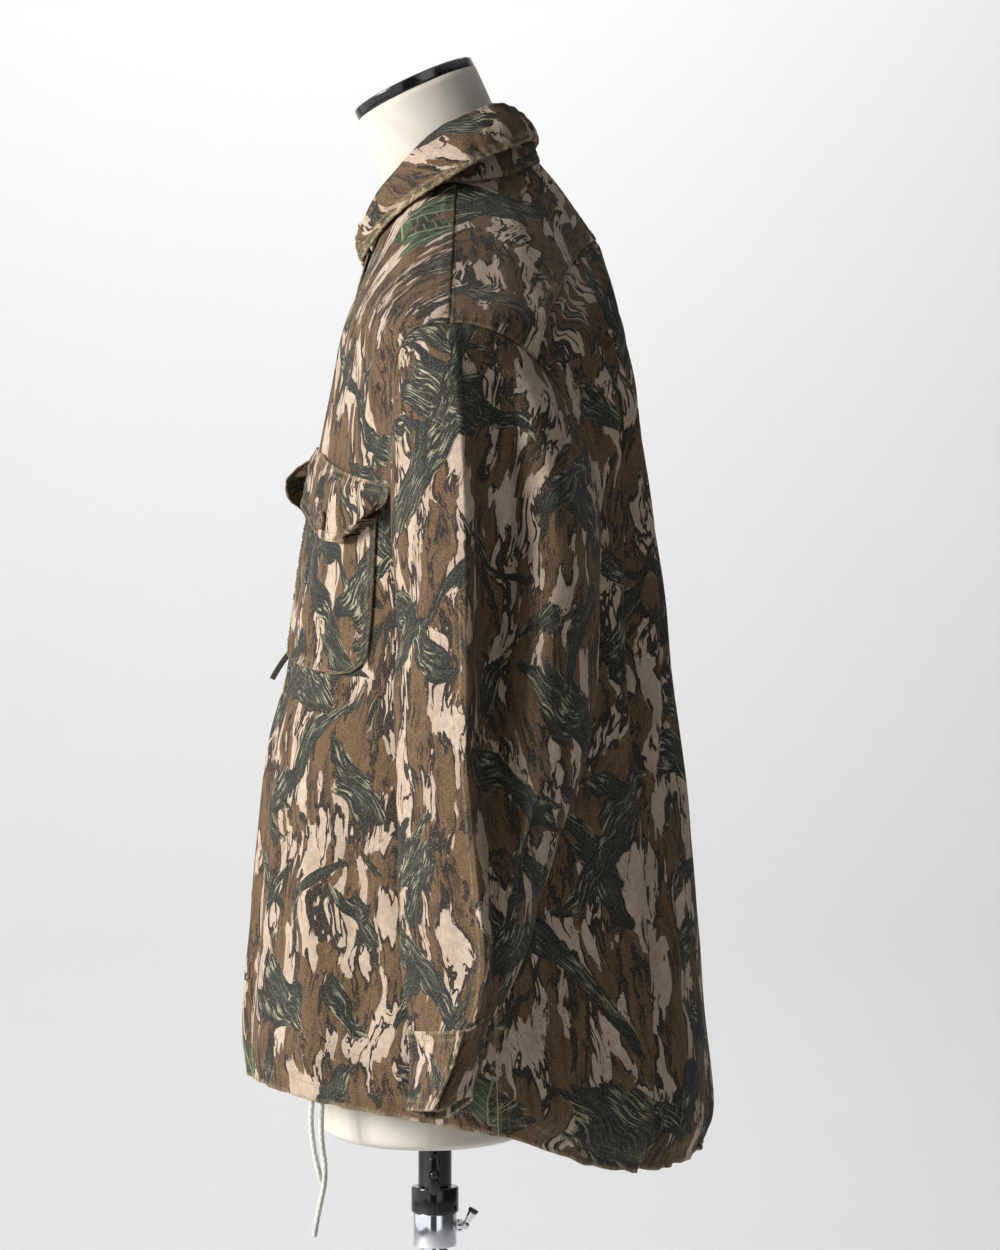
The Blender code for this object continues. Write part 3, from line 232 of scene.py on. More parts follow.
def addPiece(name, mesh, looks, nodes=(), body="form"):
    # an object with its looks, the body it rides and the nodes it replaces
    piece = bpy.data.objects.new(name, mesh)
    bpy.context.scene.collection.objects.link(piece)
    for look in looks:
        mesh.materials.append(look)
    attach(piece, body)
    if nodes:
        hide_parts(*nodes)
    return piece


def addCloth(name, grid, worn, sheet, nodes, thick=0.0016, closed=False, at=(0.0, 0.0),
        doubled=False, laid=None):
    # a cloth wall whose outer face is the grid; its inner face has the cloth's back
    # a doubled piece is faced with the same cloth on its under side
    looks = (clothFace, clothFace if doubled else clothBack)
    flat = flatten(grid, closed, at) if laid is None else laid
    piece = addPiece(name, gridMesh(name, grid, flat, worn, closed), looks, nodes)
    wall = piece.modifiers.new("wall", "SOLIDIFY")
    wall.thickness = thick
    wall.offset = -1.0
    wall.material_offset = 1
    wall.material_offset_rim = 0
    area = np.linalg.norm(np.cross(np.diff(grid, axis=0)[:, :-1], np.diff(grid, axis=1)[:-1]), axis=-1).sum()
    print(f"{name}: {area:.4f} m2, flat {sheet['flat']}")
    return piece


def lathe(profile, sides, axis=(0, 0, 1), at=(0, 0, 0)):
    # a profile of (radius, height) rows carried round an axis; its ends are closed by small caps
    radius, height = np.array(profile, float).T
    angle = np.arange(sides) * 2 * math.pi / sides
    ring = np.stack((np.cos(angle), np.sin(angle), 0 * angle), axis=-1)
    rise = height[:, None, None] * np.array((0.0, 0.0, 1.0))
    grid = np.maximum(radius, 0.00004)[:, None, None] * ring[None] + rise
    turn = np.array(Vector(axis).to_track_quat("Z", "Y").to_matrix())
    return grid @ turn.T + np.array(at)


def roundedProfile(points, radius=0.0006, steps=4):
    # each corner of a (radius, height) line becomes a short curve between points set back along its sides
    points = np.array(points, float)
    before = points[1:-1] - points[:-2]
    after = points[2:] - points[1:-1]
    lengthB = np.linalg.norm(before, axis=1, keepdims=True)
    lengthA = np.linalg.norm(after, axis=1, keepdims=True)
    back = np.minimum(radius, 0.45 * np.minimum(lengthB, lengthA))
    start = points[1:-1] - before / lengthB * back
    end = points[1:-1] + after / lengthA * back
    s = np.linspace(0, 1, steps + 1)[None, :, None]
    corner = start[:, None] * (1 - s) ** 2 + 2 * points[1:-1][:, None] * s * (1 - s) + end[:, None] * s ** 2
    return np.concatenate((points[:1], corner.reshape(-1, 2), points[-1:]))


# materials

def addNode(tree, kind, settings=None, **values):
    node = tree.nodes.new(kind)
    for key, value in (settings or {}).items():
        setattr(node, key, value)
    for key, value in values.items():
        # n0, n1 and so on are plugs by number, the rest by name
        plug = node.inputs[int(key[1:]) if key[0] == "n" and key[1:].isdigit() else key.replace("_", " ")]
        if isinstance(value, bpy.types.NodeSocket):
            tree.links.new(value, plug)
        else:
            plug.default_value = value
    return node


def calc(tree, how, a, b=0.0, c=0.0):
    # one sum of up to three numbers or plugs
    return addNode(tree, "ShaderNodeMath", {"operation": how}, n0=a, n1=b, n2=c).outputs[0]


def mapTo(tree, value, low, high, toLow=0.0, toHigh=1.0):
    # a smooth step from low to high, carried to toLow and toHigh
    node = addNode(tree, "ShaderNodeMapRange", {"interpolation_type": "SMOOTHSTEP"}, n0=value, n1=low,
            n2=high, n3=toLow, n4=toHigh)
    return node.outputs[0]


def mixTo(tree, share, a, b, blend="MIX"):
    # colour a, with its share of colour b
    node = addNode(tree, "ShaderNodeMix", {"data_type": "RGBA", "blend_type": blend}, n0=share, n6=a, n7=b)
    return node.outputs[2]


def moved(tree, flat, scale, offset=(0.0, 0.0, 0.0), turn=0.0):
    # the place turned, times the scale, plus the offset
    if turn:
        flat = addNode(tree, "ShaderNodeVectorRotate", {"rotation_type": "Z_AXIS"},
                Vector=flat, Angle=turn).outputs[0]
    settings = {"operation": "MULTIPLY_ADD"}
    return addNode(tree, "ShaderNodeVectorMath", settings, n0=flat, n1=scale, n2=offset).outputs[0]


def noiseAt(tree, where, scale=1.0, detail=2.0, rough=0.5, warp=0.0, kind="2D", plug="Fac"):
    return addNode(tree, "ShaderNodeTexNoise", {"noise_dimensions": kind}, Vector=where, Scale=scale,
            Detail=detail, Roughness=rough, Distortion=warp).outputs[plug]


def bandsAt(tree, where, scale, warp, detail=2.0, heading="DIAGONAL"):
    return addNode(tree, "ShaderNodeTexWave", {"wave_type": "BANDS", "bands_direction": heading},
            Vector=where, Scale=scale, Distortion=warp, Detail=detail).outputs["Fac"]


def flatOf(tree):
    return addNode(tree, "ShaderNodeUVMap", {"uv_map": "flatCloth"}).outputs[0]


def placeOf(tree):
    return addNode(tree, "ShaderNodeTexCoord").outputs["Object"]


def wornOf(tree):
    settings = {"attribute_name": "worn", "attribute_type": "GEOMETRY"}
    return addNode(tree, "ShaderNodeAttribute", settings).outputs["Fac"]


def roughened(tree, value, noise, amount):
    # the value with a share of the noise added, up or down from the noise's middle
    return calc(tree, "ADD", value, calc(tree, "MULTIPLY", calc(tree, "SUBTRACT", noise, 0.5), amount))


def newGroup(name, inputs, outputs):
    # an empty node group with its plugs
    group = bpy.data.node_groups.new(name, "ShaderNodeTree")
    for label, kind, value in inputs:
        plug = group.interface.new_socket(name=label, in_out="INPUT", socket_type=kind)
        if value is not None:
            plug.default_value = value
    for label, kind in outputs:
        group.interface.new_socket(name=label, in_out="OUTPUT", socket_type=kind)
    return group, group.nodes.new("NodeGroupInput"), group.nodes.new("NodeGroupOutput")


printSet = {
    "ground": (0.66, 0.52, 0.405, 1), "groundDark": (0.56, 0.425, 0.32, 1),
    "brown": (0.168, 0.099, 0.051, 1), "brownDark": (0.082, 0.05, 0.03, 1),
    "streak": (0.03, 0.023, 0.02, 1),
    "slate": (0.017, 0.021, 0.02, 1), "slateMid": (0.062, 0.073, 0.062, 1), "hair": (0.44, 0.405, 0.27, 1),
    "leaf": (0.05, 0.095, 0.042, 1), "leafDark": (0.018, 0.034, 0.018, 1), "vein": (0.33, 0.36, 0.22, 1),
    "paleFibre": (0.5, 0.44, 0.35, 1), "darkFibre": (0.06, 0.048, 0.036, 1),
    # brushed shapes: heading, stretch each way, place in the noise, and the level they are cut at
    "brushed": ((0.52, (7.0, 23.0, 1.0), (3.1, 6.4, 0.0), 0.612),
                (-0.95, (7.6, 26.0, 1.0), (11.0, 0.7, 0.0), 0.622)),
    # leaves: turn from the middle one, and length
    "leaves": ((0.0, 0.046), (0.82, 0.034), (-0.74, 0.037)),
}


def leafGroup():
    # one plain pointed leaf on the x axis: its half width is a sine of the way along, waved at the rim
    g, given, out = newGroup("plainLeaf", (("Local", "NodeSocketVector", None),
            ("Angle", "NodeSocketFloat", 0.0), ("Length", "NodeSocketFloat", 0.04)),
            (("Mask", "NodeSocketFloat"), ("Vein", "NodeSocketFloat"), ("Side", "NodeSocketFloat")))
    turned = addNode(g, "ShaderNodeVectorRotate", {"rotation_type": "Z_AXIS"},
            Vector=given.outputs[0], Angle=given.outputs[1])
    parts = addNode(g, "ShaderNodeSeparateXYZ", None, Vector=turned.outputs[0])
    along = calc(g, "DIVIDE", parts.outputs[0], given.outputs[2])
    side = calc(g, "ABSOLUTE", parts.outputs[1])
    bow = calc(g, "SINE", calc(g, "MULTIPLY", along, math.pi))
    waved = calc(g, "MULTIPLY_ADD", calc(g, "SINE", calc(g, "MULTIPLY", along, 31.0)), 0.16, 1.0)
    half = calc(g, "MULTIPLY", calc(g, "MULTIPLY", bow, waved), calc(g, "MULTIPLY", given.outputs[2], 0.24))
    inside = mapTo(g, calc(g, "SUBTRACT", half, side), -0.0003, 0.0003)
    onLeaf = calc(g, "MULTIPLY", calc(g, "GREATER_THAN", along, 0.0), calc(g, "LESS_THAN", along, 1.0))
    mask = calc(g, "MULTIPLY", inside, onLeaf)
    middle = mapTo(g, side, 0.0009, 0.0004)
    slant = calc(g, "FRACT", calc(g, "DIVIDE", calc(g, "SUBTRACT", parts.outputs[0], side), 0.0062))
    ribs = mapTo(g, calc(g, "ABSOLUTE", calc(g, "SUBTRACT", slant, 0.5)), 0.1, 0.04)
    g.links.new(mask, out.inputs[0])
    veins = calc(g, "MAXIMUM", middle, calc(g, "MULTIPLY", ribs, 0.55))
    g.links.new(calc(g, "MULTIPLY", veins, mask), out.inputs[1])
    g.links.new(mapTo(g, parts.outputs[1], -0.004, 0.004), out.inputs[2])
    return g


def printGroup(s):
    # a made-up woodland print: upright blotches on a pale ground, ragged streaks, brushed shapes and leaves
    g, given, out = newGroup("woodlandPrint", (("Flat", "NodeSocketVector", None),),
            (("Colour", "NodeSocketColor"),))
    flat = given.outputs[0]
    wander = noiseAt(g, flat, 13.0, 2.0, plug="Color")
    bent = addNode(g, "ShaderNodeVectorMath", {"operation": "MULTIPLY_ADD"}, n0=wander,
            n1=(0.034, 0.05, 0.0), n2=flat).outputs[0]
    ragged = noiseAt(g, moved(g, flat, (230.0, 70.0, 1.0)), 1.0, 2.0)
    fine = noiseAt(g, moved(g, flat, (760.0, 760.0, 1.0)), 1.0, 2.0, 0.75)
    # blotches
    blot = noiseAt(g, moved(g, bent, (42.0, 14.0, 1.0)), 1.0, 2.0, 0.48)
    blot = roughened(g, blot, ragged, 0.1)
    isBrown = mapTo(g, blot, 0.474, 0.482)
    grain = noiseAt(g, moved(g, bent, (105.0, 24.0, 1.0)), 1.0, 3.0, 0.62)
    brown = mixTo(g, mapTo(g, grain, 0.46, 0.7), s["brown"], s["brownDark"])
    ground = mixTo(g, mapTo(g, noiseAt(g, moved(g, flat, (40.0, 22.0, 1.0)), 1.0, 3.0), 0.35, 0.7),
            s["ground"], s["groundDark"])
    colour = mixTo(g, isBrown, ground, brown)
    # ragged dark streaks, upright, thickest beside the blotches
    streak = noiseAt(g, moved(g, bent, (78.0, 21.0, 1.0), (7.3, 2.1, 0.0)), 1.0, 3.0, 0.6, 0.3)
    where = noiseAt(g, moved(g, flat, (34.0, 20.0, 1.0), (1.7, 9.2, 0.0)), 1.0, 1.0)
    wide = mapTo(g, where, 0.38, 0.62, 0.0, 0.05)
    thin = calc(g, "SUBTRACT", wide, calc(g, "ABSOLUTE", calc(g, "SUBTRACT", streak, 0.5)))
    thin = roughened(g, thin, ragged, 0.02)
    rim = calc(g, "SUBTRACT", mapTo(g, streak, 0.42, 0.58, 0.0, 0.034),
               calc(g, "ABSOLUTE", calc(g, "SUBTRACT", blot, 0.462)))
    isStreak = calc(g, "MAXIMUM", mapTo(g, thin, 0.0, 0.005), mapTo(g, rim, 0.0, 0.005))
    colour = mixTo(g, isStreak, colour, s["streak"])
    # long brushed shapes on two headings
    for turn, size, offset, cut in s["brushed"]:
        field = noiseAt(g, moved(g, bent, size, offset, turn), 1.0, 2.0, 0.42)
        brush = noiseAt(g, moved(g, bent, (size[0] * 9, size[1] * 22, 1.0), offset, turn), 1.0, 3.0, 0.6, 0.2)
        field = roughened(g, field, brush, 0.055)
        isShape = mapTo(g, field, cut, cut + 0.007)
        inner = mapTo(g, field, cut + 0.01, cut + 0.095)
        tone = mixTo(g, calc(g, "MULTIPLY", inner, mapTo(g, brush, 0.38, 0.62)), s["slate"], s["slateMid"])
        patch = noiseAt(g, moved(g, bent, (30.0, 44.0, 1.0), offset, turn), 1.0, 2.0)
        hair = calc(g, "MULTIPLY", mapTo(g, brush, 0.56, 0.62), mapTo(g, patch, 0.42, 0.62))
        tone = mixTo(g, hair, tone, s["hair"])
        colour = mixTo(g, isShape, colour, tone)
    # a few leaves in threes
    cells = addNode(g, "ShaderNodeTexVoronoi", {"voronoi_dimensions": "2D"}, Vector=flat,
            Scale=8.5, Randomness=0.85)
    local = addNode(g, "ShaderNodeVectorMath", {"operation": "SUBTRACT"}, n0=flat,
            n1=cells.outputs["Position"]).outputs[0]
    draw = addNode(g, "ShaderNodeSeparateColor", None, Color=cells.outputs["Color"])
    heading = calc(g, "MULTIPLY", draw.outputs[0], 6.283)
    chosen = calc(g, "GREATER_THAN", draw.outputs[1], 0.74)
    leaf = leafGroup()
    for spread, length in s["leaves"]:
        one = addNode(g, "ShaderNodeGroup", {"node_tree": leaf}, Local=local,
                Angle=calc(g, "ADD", heading, spread), Length=length)
        green = mixTo(g, one.outputs["Side"], s["leafDark"], s["leaf"])
        green = mixTo(g, one.outputs["Vein"], green, s["vein"])
        colour = mixTo(g, calc(g, "MULTIPLY", one.outputs["Mask"], chosen), colour, green)
    # the nap lets specks of pale and dark fibre through
    colour = mixTo(g, mapTo(g, fine, 0.555, 0.605, 0.0, 0.2), colour, s["paleFibre"])
    colour = mixTo(g, mapTo(g, fine, 0.455, 0.4, 0.0, 0.24), colour, s["darkFibre"])
    g.links.new(colour, out.inputs[0])
    return g


def napGroup():
    # height of a brushed twill: fine diagonal ribs, a short nap and a slow unevenness
    g, given, out = newGroup("brushedNap", (("Flat", "NodeSocketVector", None),
            ("Ribs", "NodeSocketFloat", 0.4)), (("Height", "NodeSocketFloat"), ("Tone", "NodeSocketFloat")))
    flat = given.outputs[0]
    ribs = bandsAt(g, flat, 420.0, 1.2, 1.0)
    nap = noiseAt(g, flat, 1500.0, 2.0, 0.65)
    slow = noiseAt(g, flat, 170.0, 3.0, 0.6)
    total = calc(g, "ADD", calc(g, "MULTIPLY", ribs, given.outputs[1]),
            calc(g, "ADD", nap, calc(g, "MULTIPLY", slow, 1.6)))
    g.links.new(total, out.inputs[0])
    both = calc(g, "ADD", calc(g, "MULTIPLY", nap, 0.5), calc(g, "MULTIPLY", slow, 0.5))
    g.links.new(mapTo(g, both, 0.35, 0.66, 0.84, 1.12), out.inputs[1])
    return g


def newLook(name, **plugs):
    # a material with its Principled plugs set
    look = bpy.data.materials.new(name)
    look.use_nodes = True
    tree = look.node_tree
    shader = tree.nodes["Principled BSDF"]
    for key, value in plugs.items():
        shader.inputs[key.replace("_", " ")].default_value = value
    return look, tree, shader


def raised(tree, shader, height, distance, strength=1.0):
    # the shader's normal, bumped by a height
    bump = addNode(tree, "ShaderNodeBump", None, Height=height, Distance=distance, Strength=strength)
    tree.links.new(bump.outputs[0], shader.inputs["Normal"])


woodland = printGroup(printSet)
brushedNap = napGroup()


def clothLook(name, fade, tint, wornTint):
    # the print, faded towards a tint, rubbed pale where it is worn, and toned by the nap
    look, tree, shader = newLook(name, Roughness=0.95, Sheen_Weight=0.03,
            Sheen_Roughness=0.5, Specular_IOR_Level=0.12)
    flat = flatOf(tree)
    ink = addNode(tree, "ShaderNodeGroup", {"node_tree": woodland}, Flat=flat)
    nap = addNode(tree, "ShaderNodeGroup", {"node_tree": brushedNap}, Flat=flat, Ribs=0.4)
    colour = mixTo(tree, fade, ink.outputs[0], tint)
    worn = wornOf(tree)
    patchy = noiseAt(tree, flat, 260.0, 3.0, 0.6)
    share = calc(tree, "MULTIPLY", worn, mapTo(tree, patchy, 0.3, 0.62, 0.25, 1.0))
    colour = mixTo(tree, share, colour, wornTint)
    tone = addNode(tree, "ShaderNodeCombineXYZ", None, n0=nap.outputs[1], n1=nap.outputs[1],
            n2=nap.outputs[1]).outputs[0]
    colour = mixTo(tree, 1.0, colour, tone, "MULTIPLY")
    tree.links.new(colour, shader.inputs["Base Color"])
    raised(tree, shader, nap.outputs[0], 0.00035, 0.8)
    return look


clothFace = clothLook("camo_cloth", 0.02, (0.4, 0.33, 0.25, 1), (0.62, 0.5, 0.31, 1))
clothBack = clothLook("camo_cloth_back", 0.62, (0.36, 0.27, 0.18, 1), (0.5, 0.38, 0.22, 1))
darkTape = clothLook("dark_tape", 0.92, (0.028, 0.034, 0.03, 1), (0.3, 0.26, 0.18, 1))


def threadLook():
    # light and dark tan, mixed by noise
    look, tree, shader = newLook("tan_thread", Roughness=0.8, Sheen_Weight=0.15, Specular_IOR_Level=0.25)
    where = placeOf(tree)
    shade = noiseAt(tree, where, 300.0, 2.0, kind="3D")
    tree.links.new(mixTo(tree, mapTo(tree, shade, 0.35, 0.65), (0.15, 0.105, 0.055, 1),
            (0.36, 0.27, 0.15, 1)), shader.inputs["Base Color"])
    return look


tanThread = threadLook()


def cordLook():
    # two crossed sets of bands for the braid, over a noise of dirt; the braid's low grooves are darkened with
    # painted shade
    look, tree, shader = newLook("cotton_cord", Roughness=0.85, Sheen_Weight=0.2, Specular_IOR_Level=0.2)
    flat = flatOf(tree)
    one, two = [bandsAt(tree, moved(tree, flat, (way, 0.55, 1.0)), 210.0, 0.6) for way in (1.0, -1.0)]
    braid = calc(tree, "MAXIMUM", one, two)
    dirt = noiseAt(tree, flat, 60.0, 2.0)
    clean = mixTo(tree, mapTo(tree, dirt, 0.4, 0.7), (0.78, 0.79, 0.74, 1), (0.6, 0.61, 0.55, 1))
    # painted shade: the colour goes up to a third of the way to grey where the braid is low, in the grooves
    # between its strands
    tree.links.new(mixTo(tree, mapTo(tree, braid, 0.9, 0.4, 0.0, 0.35), clean, (0.36, 0.36, 0.31, 1)),
            shader.inputs["Base Color"])
    raised(tree, shader, braid, 0.0003)
    return look


cottonCord = cordLook()


def coverLook():
    # fine knit on the form: small stitches in columns, and a slow unevenness
    look, tree, shader = newLook("cream_cover", Roughness=0.72, Sheen_Weight=0.12, Specular_IOR_Level=0.25)
    flat = flatOf(tree)
    knit = bandsAt(tree, flat, 330.0, 0.8, 1.0, "X")
    slow = noiseAt(tree, flat, 22.0, 3.0)
    fleck = noiseAt(tree, flat, 700.0, 2.0)
    base = mixTo(tree, mapTo(tree, slow, 0.35, 0.7), (0.8, 0.745, 0.65, 1), (0.74, 0.68, 0.585, 1))
    base = mixTo(tree, mapTo(tree, fleck, 0.6, 0.75, 0.0, 0.18), base, (0.58, 0.52, 0.43, 1))
    worn = wornOf(tree)
    tree.links.new(mixTo(tree, worn, base, (0.42, 0.36, 0.29, 1)), shader.inputs["Base Color"])
    raised(tree, shader, calc(tree, "ADD", knit, calc(tree, "MULTIPLY", slow, 2.0)), 0.00012, 0.7)
    return look


creamCover = coverLook()


def wearGroup():
    # faint scratches and dust, as two masks
    g, given, out = newGroup("handledMetal", (("Place", "NodeSocketVector", None),
            ("Size", "NodeSocketFloat", 60.0)), (("Scratch", "NodeSocketFloat"), ("Dust", "NodeSocketFloat")))
    near = noiseAt(g, given.outputs[0], given.outputs[1], 4.0, 0.6, kind="3D")
    lines = noiseAt(g, moved(g, given.outputs[0], (900.0, 900.0, 40.0)), 1.0, 2.0, 0.6, kind="3D")
    g.links.new(calc(g, "MULTIPLY", mapTo(g, lines, 0.62, 0.72), mapTo(g, near, 0.45, 0.65)), out.inputs[0])
    g.links.new(mapTo(g, near, 0.42, 0.75), out.inputs[1])
    return g


handledMetal = wearGroup()


def metalLook(name, colour, dusty, rough, metallic, coat=0.0, size=60.0):
    # a plain finish, dusted and scratched by the wear masks
    look, tree, shader = newLook(name, Metallic=metallic, Coat_Weight=coat, Coat_Roughness=0.06)
    where = placeOf(tree)
    wear = addNode(tree, "ShaderNodeGroup", {"node_tree": handledMetal}, Place=where, Size=size)
    tone = mixTo(tree, calc(tree, "MULTIPLY", wear.outputs[1], 0.35), colour, dusty)
    tree.links.new(mixTo(tree, calc(tree, "MULTIPLY", wear.outputs[0], 0.3), tone, dusty),
            shader.inputs["Base Color"])
    tree.links.new(mapTo(tree, wear.outputs[1], 0.0, 1.0, rough, rough + 0.12), shader.inputs["Roughness"])
    raised(tree, shader, wear.outputs[0], 0.00004, 0.4)
    return look


blackGloss = metalLook("black_gloss", (0.006, 0.006, 0.007, 1), (0.016, 0.016, 0.018, 1), 0.1, 0.0, 0.25)
chromePlate = metalLook("chrome", (0.86, 0.88, 0.91, 1), (0.66, 0.68, 0.71, 1), 0.06, 1.0)
basePaint = metalLook("base_paint", (0.016, 0.016, 0.018, 1), (0.05, 0.05, 0.054, 1), 0.36, 0.0, 0.1, 25.0)


def buttonLook():
    # clouded horn: two browns mixed by noise
    look, tree, shader = newLook("button", Roughness=0.32, Coat_Weight=0.25, Coat_Roughness=0.15)
    where = placeOf(tree)
    cloud = noiseAt(tree, where, 240.0, 3.0, 0.6, 0.8, "3D")
    tree.links.new(mixTo(tree, mapTo(tree, cloud, 0.4, 0.64), (0.06, 0.036, 0.022, 1),
            (0.23, 0.15, 0.085, 1)), shader.inputs["Base Color"])
    raised(tree, shader, cloud, 0.00008, 0.5)
    return look


hornButton = buttonLook()
print("materials made")


# the free cords

cordSet = {
    "radius": 0.0021, "rings": 180, "sides": 16,
    "short": ((0.153, -0.0925, 0.796), (0.1508, -0.0918, 0.795), (0.149, -0.0912, 0.791),
              (0.1486, -0.0915, 0.783), (0.1492, -0.0922, 0.773), (0.15, -0.0915, 0.76),
              (0.1504, -0.0895, 0.746), (0.15, -0.0865, 0.732), (0.1494, -0.0836, 0.7205)),
    "long": ((0.16, -0.0845, 0.796), (0.1578, -0.0837, 0.795), (0.1558, -0.0832, 0.791),
             (0.1552, -0.0838, 0.78), (0.1552, -0.0842, 0.765), (0.1556, -0.0832, 0.75),
             (0.156, -0.0814, 0.737), (0.1562, -0.0818, 0.723), (0.1558, -0.0845, 0.709),
             (0.1552, -0.0872, 0.696), (0.1548, -0.0895, 0.682)),
    "shortLength": 0.079, "longLength": 0.118,
}


def makeCord(name, route, node, s):
    # rings of one radius round a smooth line; the radius closes in a quarter circle at both ends
    route = np.array(route)
    run = runAlong(route)
    ease = np.linspace(0.0, 1.0, s["rings"])
    line = easeRead(run, route, ease * run[-1])
    along = unit(np.gradient(line, axis=0))
    side = unit(np.cross(along, (0.0, 1.0, 0.0)))
    front = np.cross(side, along)
    toEnd = np.minimum(ease, 1 - ease) * run[-1]
    radius = s["radius"] * np.sqrt(np.clip(1 - np.clip(1 - toEnd / (s["radius"] * 0.6), 0, 1) ** 2, 0.002, 1))
    angle = np.arange(s["sides"]) * 2 * math.pi / s["sides"]
    grid = line[:, None] + radius[:, None, None] * (np.cos(angle)[None, :, None] * side[:, None]
            + np.sin(angle)[None, :, None] * front[:, None])
    grid = outwardGrid(grid, line[:, None].mean(axis=0), True)
    mesh = gridMesh(name, grid, flatten(grid, True), 0.0, True, True)
    piece = addPiece(name, mesh, (cottonCord,), (node,))
    print(f"{name}: {run[-1]:.4f} m long")


makeCord("drawCordShort", cordSet["short"], "drawstring_short", cordSet)
makeCord("drawCordLong", cordSet["long"], "drawstring_long", cordSet)


# the jacket's body surface

bodySet = {
    "z": (0.7, 0.797, 0.848, 0.904, 0.968, 1.056, 1.12, 1.197, 1.25, 1.29, 1.338, 1.369, 1.41, 1.438,
          1.459, 1.48, 1.497, 1.52),
    "halfWidth": (0.22, 0.214, 0.21, 0.206, 0.204, 0.207, 0.212, 0.22, 0.23, 0.24, 0.259, 0.27, 0.205, 0.158,
            0.123, 0.09, 0.066, 0.04),
    "frontY": (-0.156, -0.1535, -0.152, -0.148, -0.1425, -0.132, -0.12, -0.109, -0.1, -0.0925, -0.082,
               -0.0745, -0.0615, -0.052, -0.044, -0.033, -0.023, -0.008),
    "ridgeY": (0.052, 0.05, 0.048, 0.047, 0.045, 0.042, 0.04, 0.034, 0.03, 0.026, 0.02, 0.0155, 0.016, 0.0165,
               0.017, 0.0172, 0.0176, 0.018),
    "backY": (0.229, 0.221, 0.2155, 0.211, 0.2055, 0.1955, 0.1865, 0.178, 0.17, 0.163, 0.1575, 0.1515, 0.1415,
              0.132, 0.123, 0.11, 0.099, 0.08),
    "power": 2.2, "shoulderZ": 1.369, "armpitZ": 1.12,
    "armFront": 0.052, "armBack": 0.092, "yokeAngle": 3 * 180.0 / 14,
    "neckWidth": 0.07, "neckDepth": 0.066, "neckY": 0.0165, "neckBetween": (1.4, 1.519),
    "hem": ((0.0, 0.797), (0.5, 0.787), (1.0, 0.766), (1.28, 0.74), (1.55, 0.733),
            (1.8, 0.738), (2.0, 0.744)),
    "seamTurn": 0.0005, "core": (0.0, 0.03, 1.2),
    # metres along the body for each quarter turn, for waves of a known length
    "turnLength": 0.33,
    # height, place and half width of the ridge beside the button band, and of the dip along it
    "ridge": (0.0032, 0.125, 0.05), "dip": (0.0062, 0.06), "chestIn": 0.0062,
    # sizes across and down, seed and height of the slow unevenness
    "uneven": ((0.15, 0.3, 5, 0.0016), (0.045, 0.085, 6, 0.0008)),
    # depth in front, what is added behind, reach upwards: of the cord's pull, its puckers, the hem's wave
    "drawnIn": (0.006, 0.0075, 0.017), "pucker": (0.001, 0.0013, 0.024), "hemWave": (0.0006, 0.0011, 0.012),
    # pitch, seed, steepness and lean of the lobes between puckers
    "lobes": (0.032, 9, 0.85, 0.45),
}

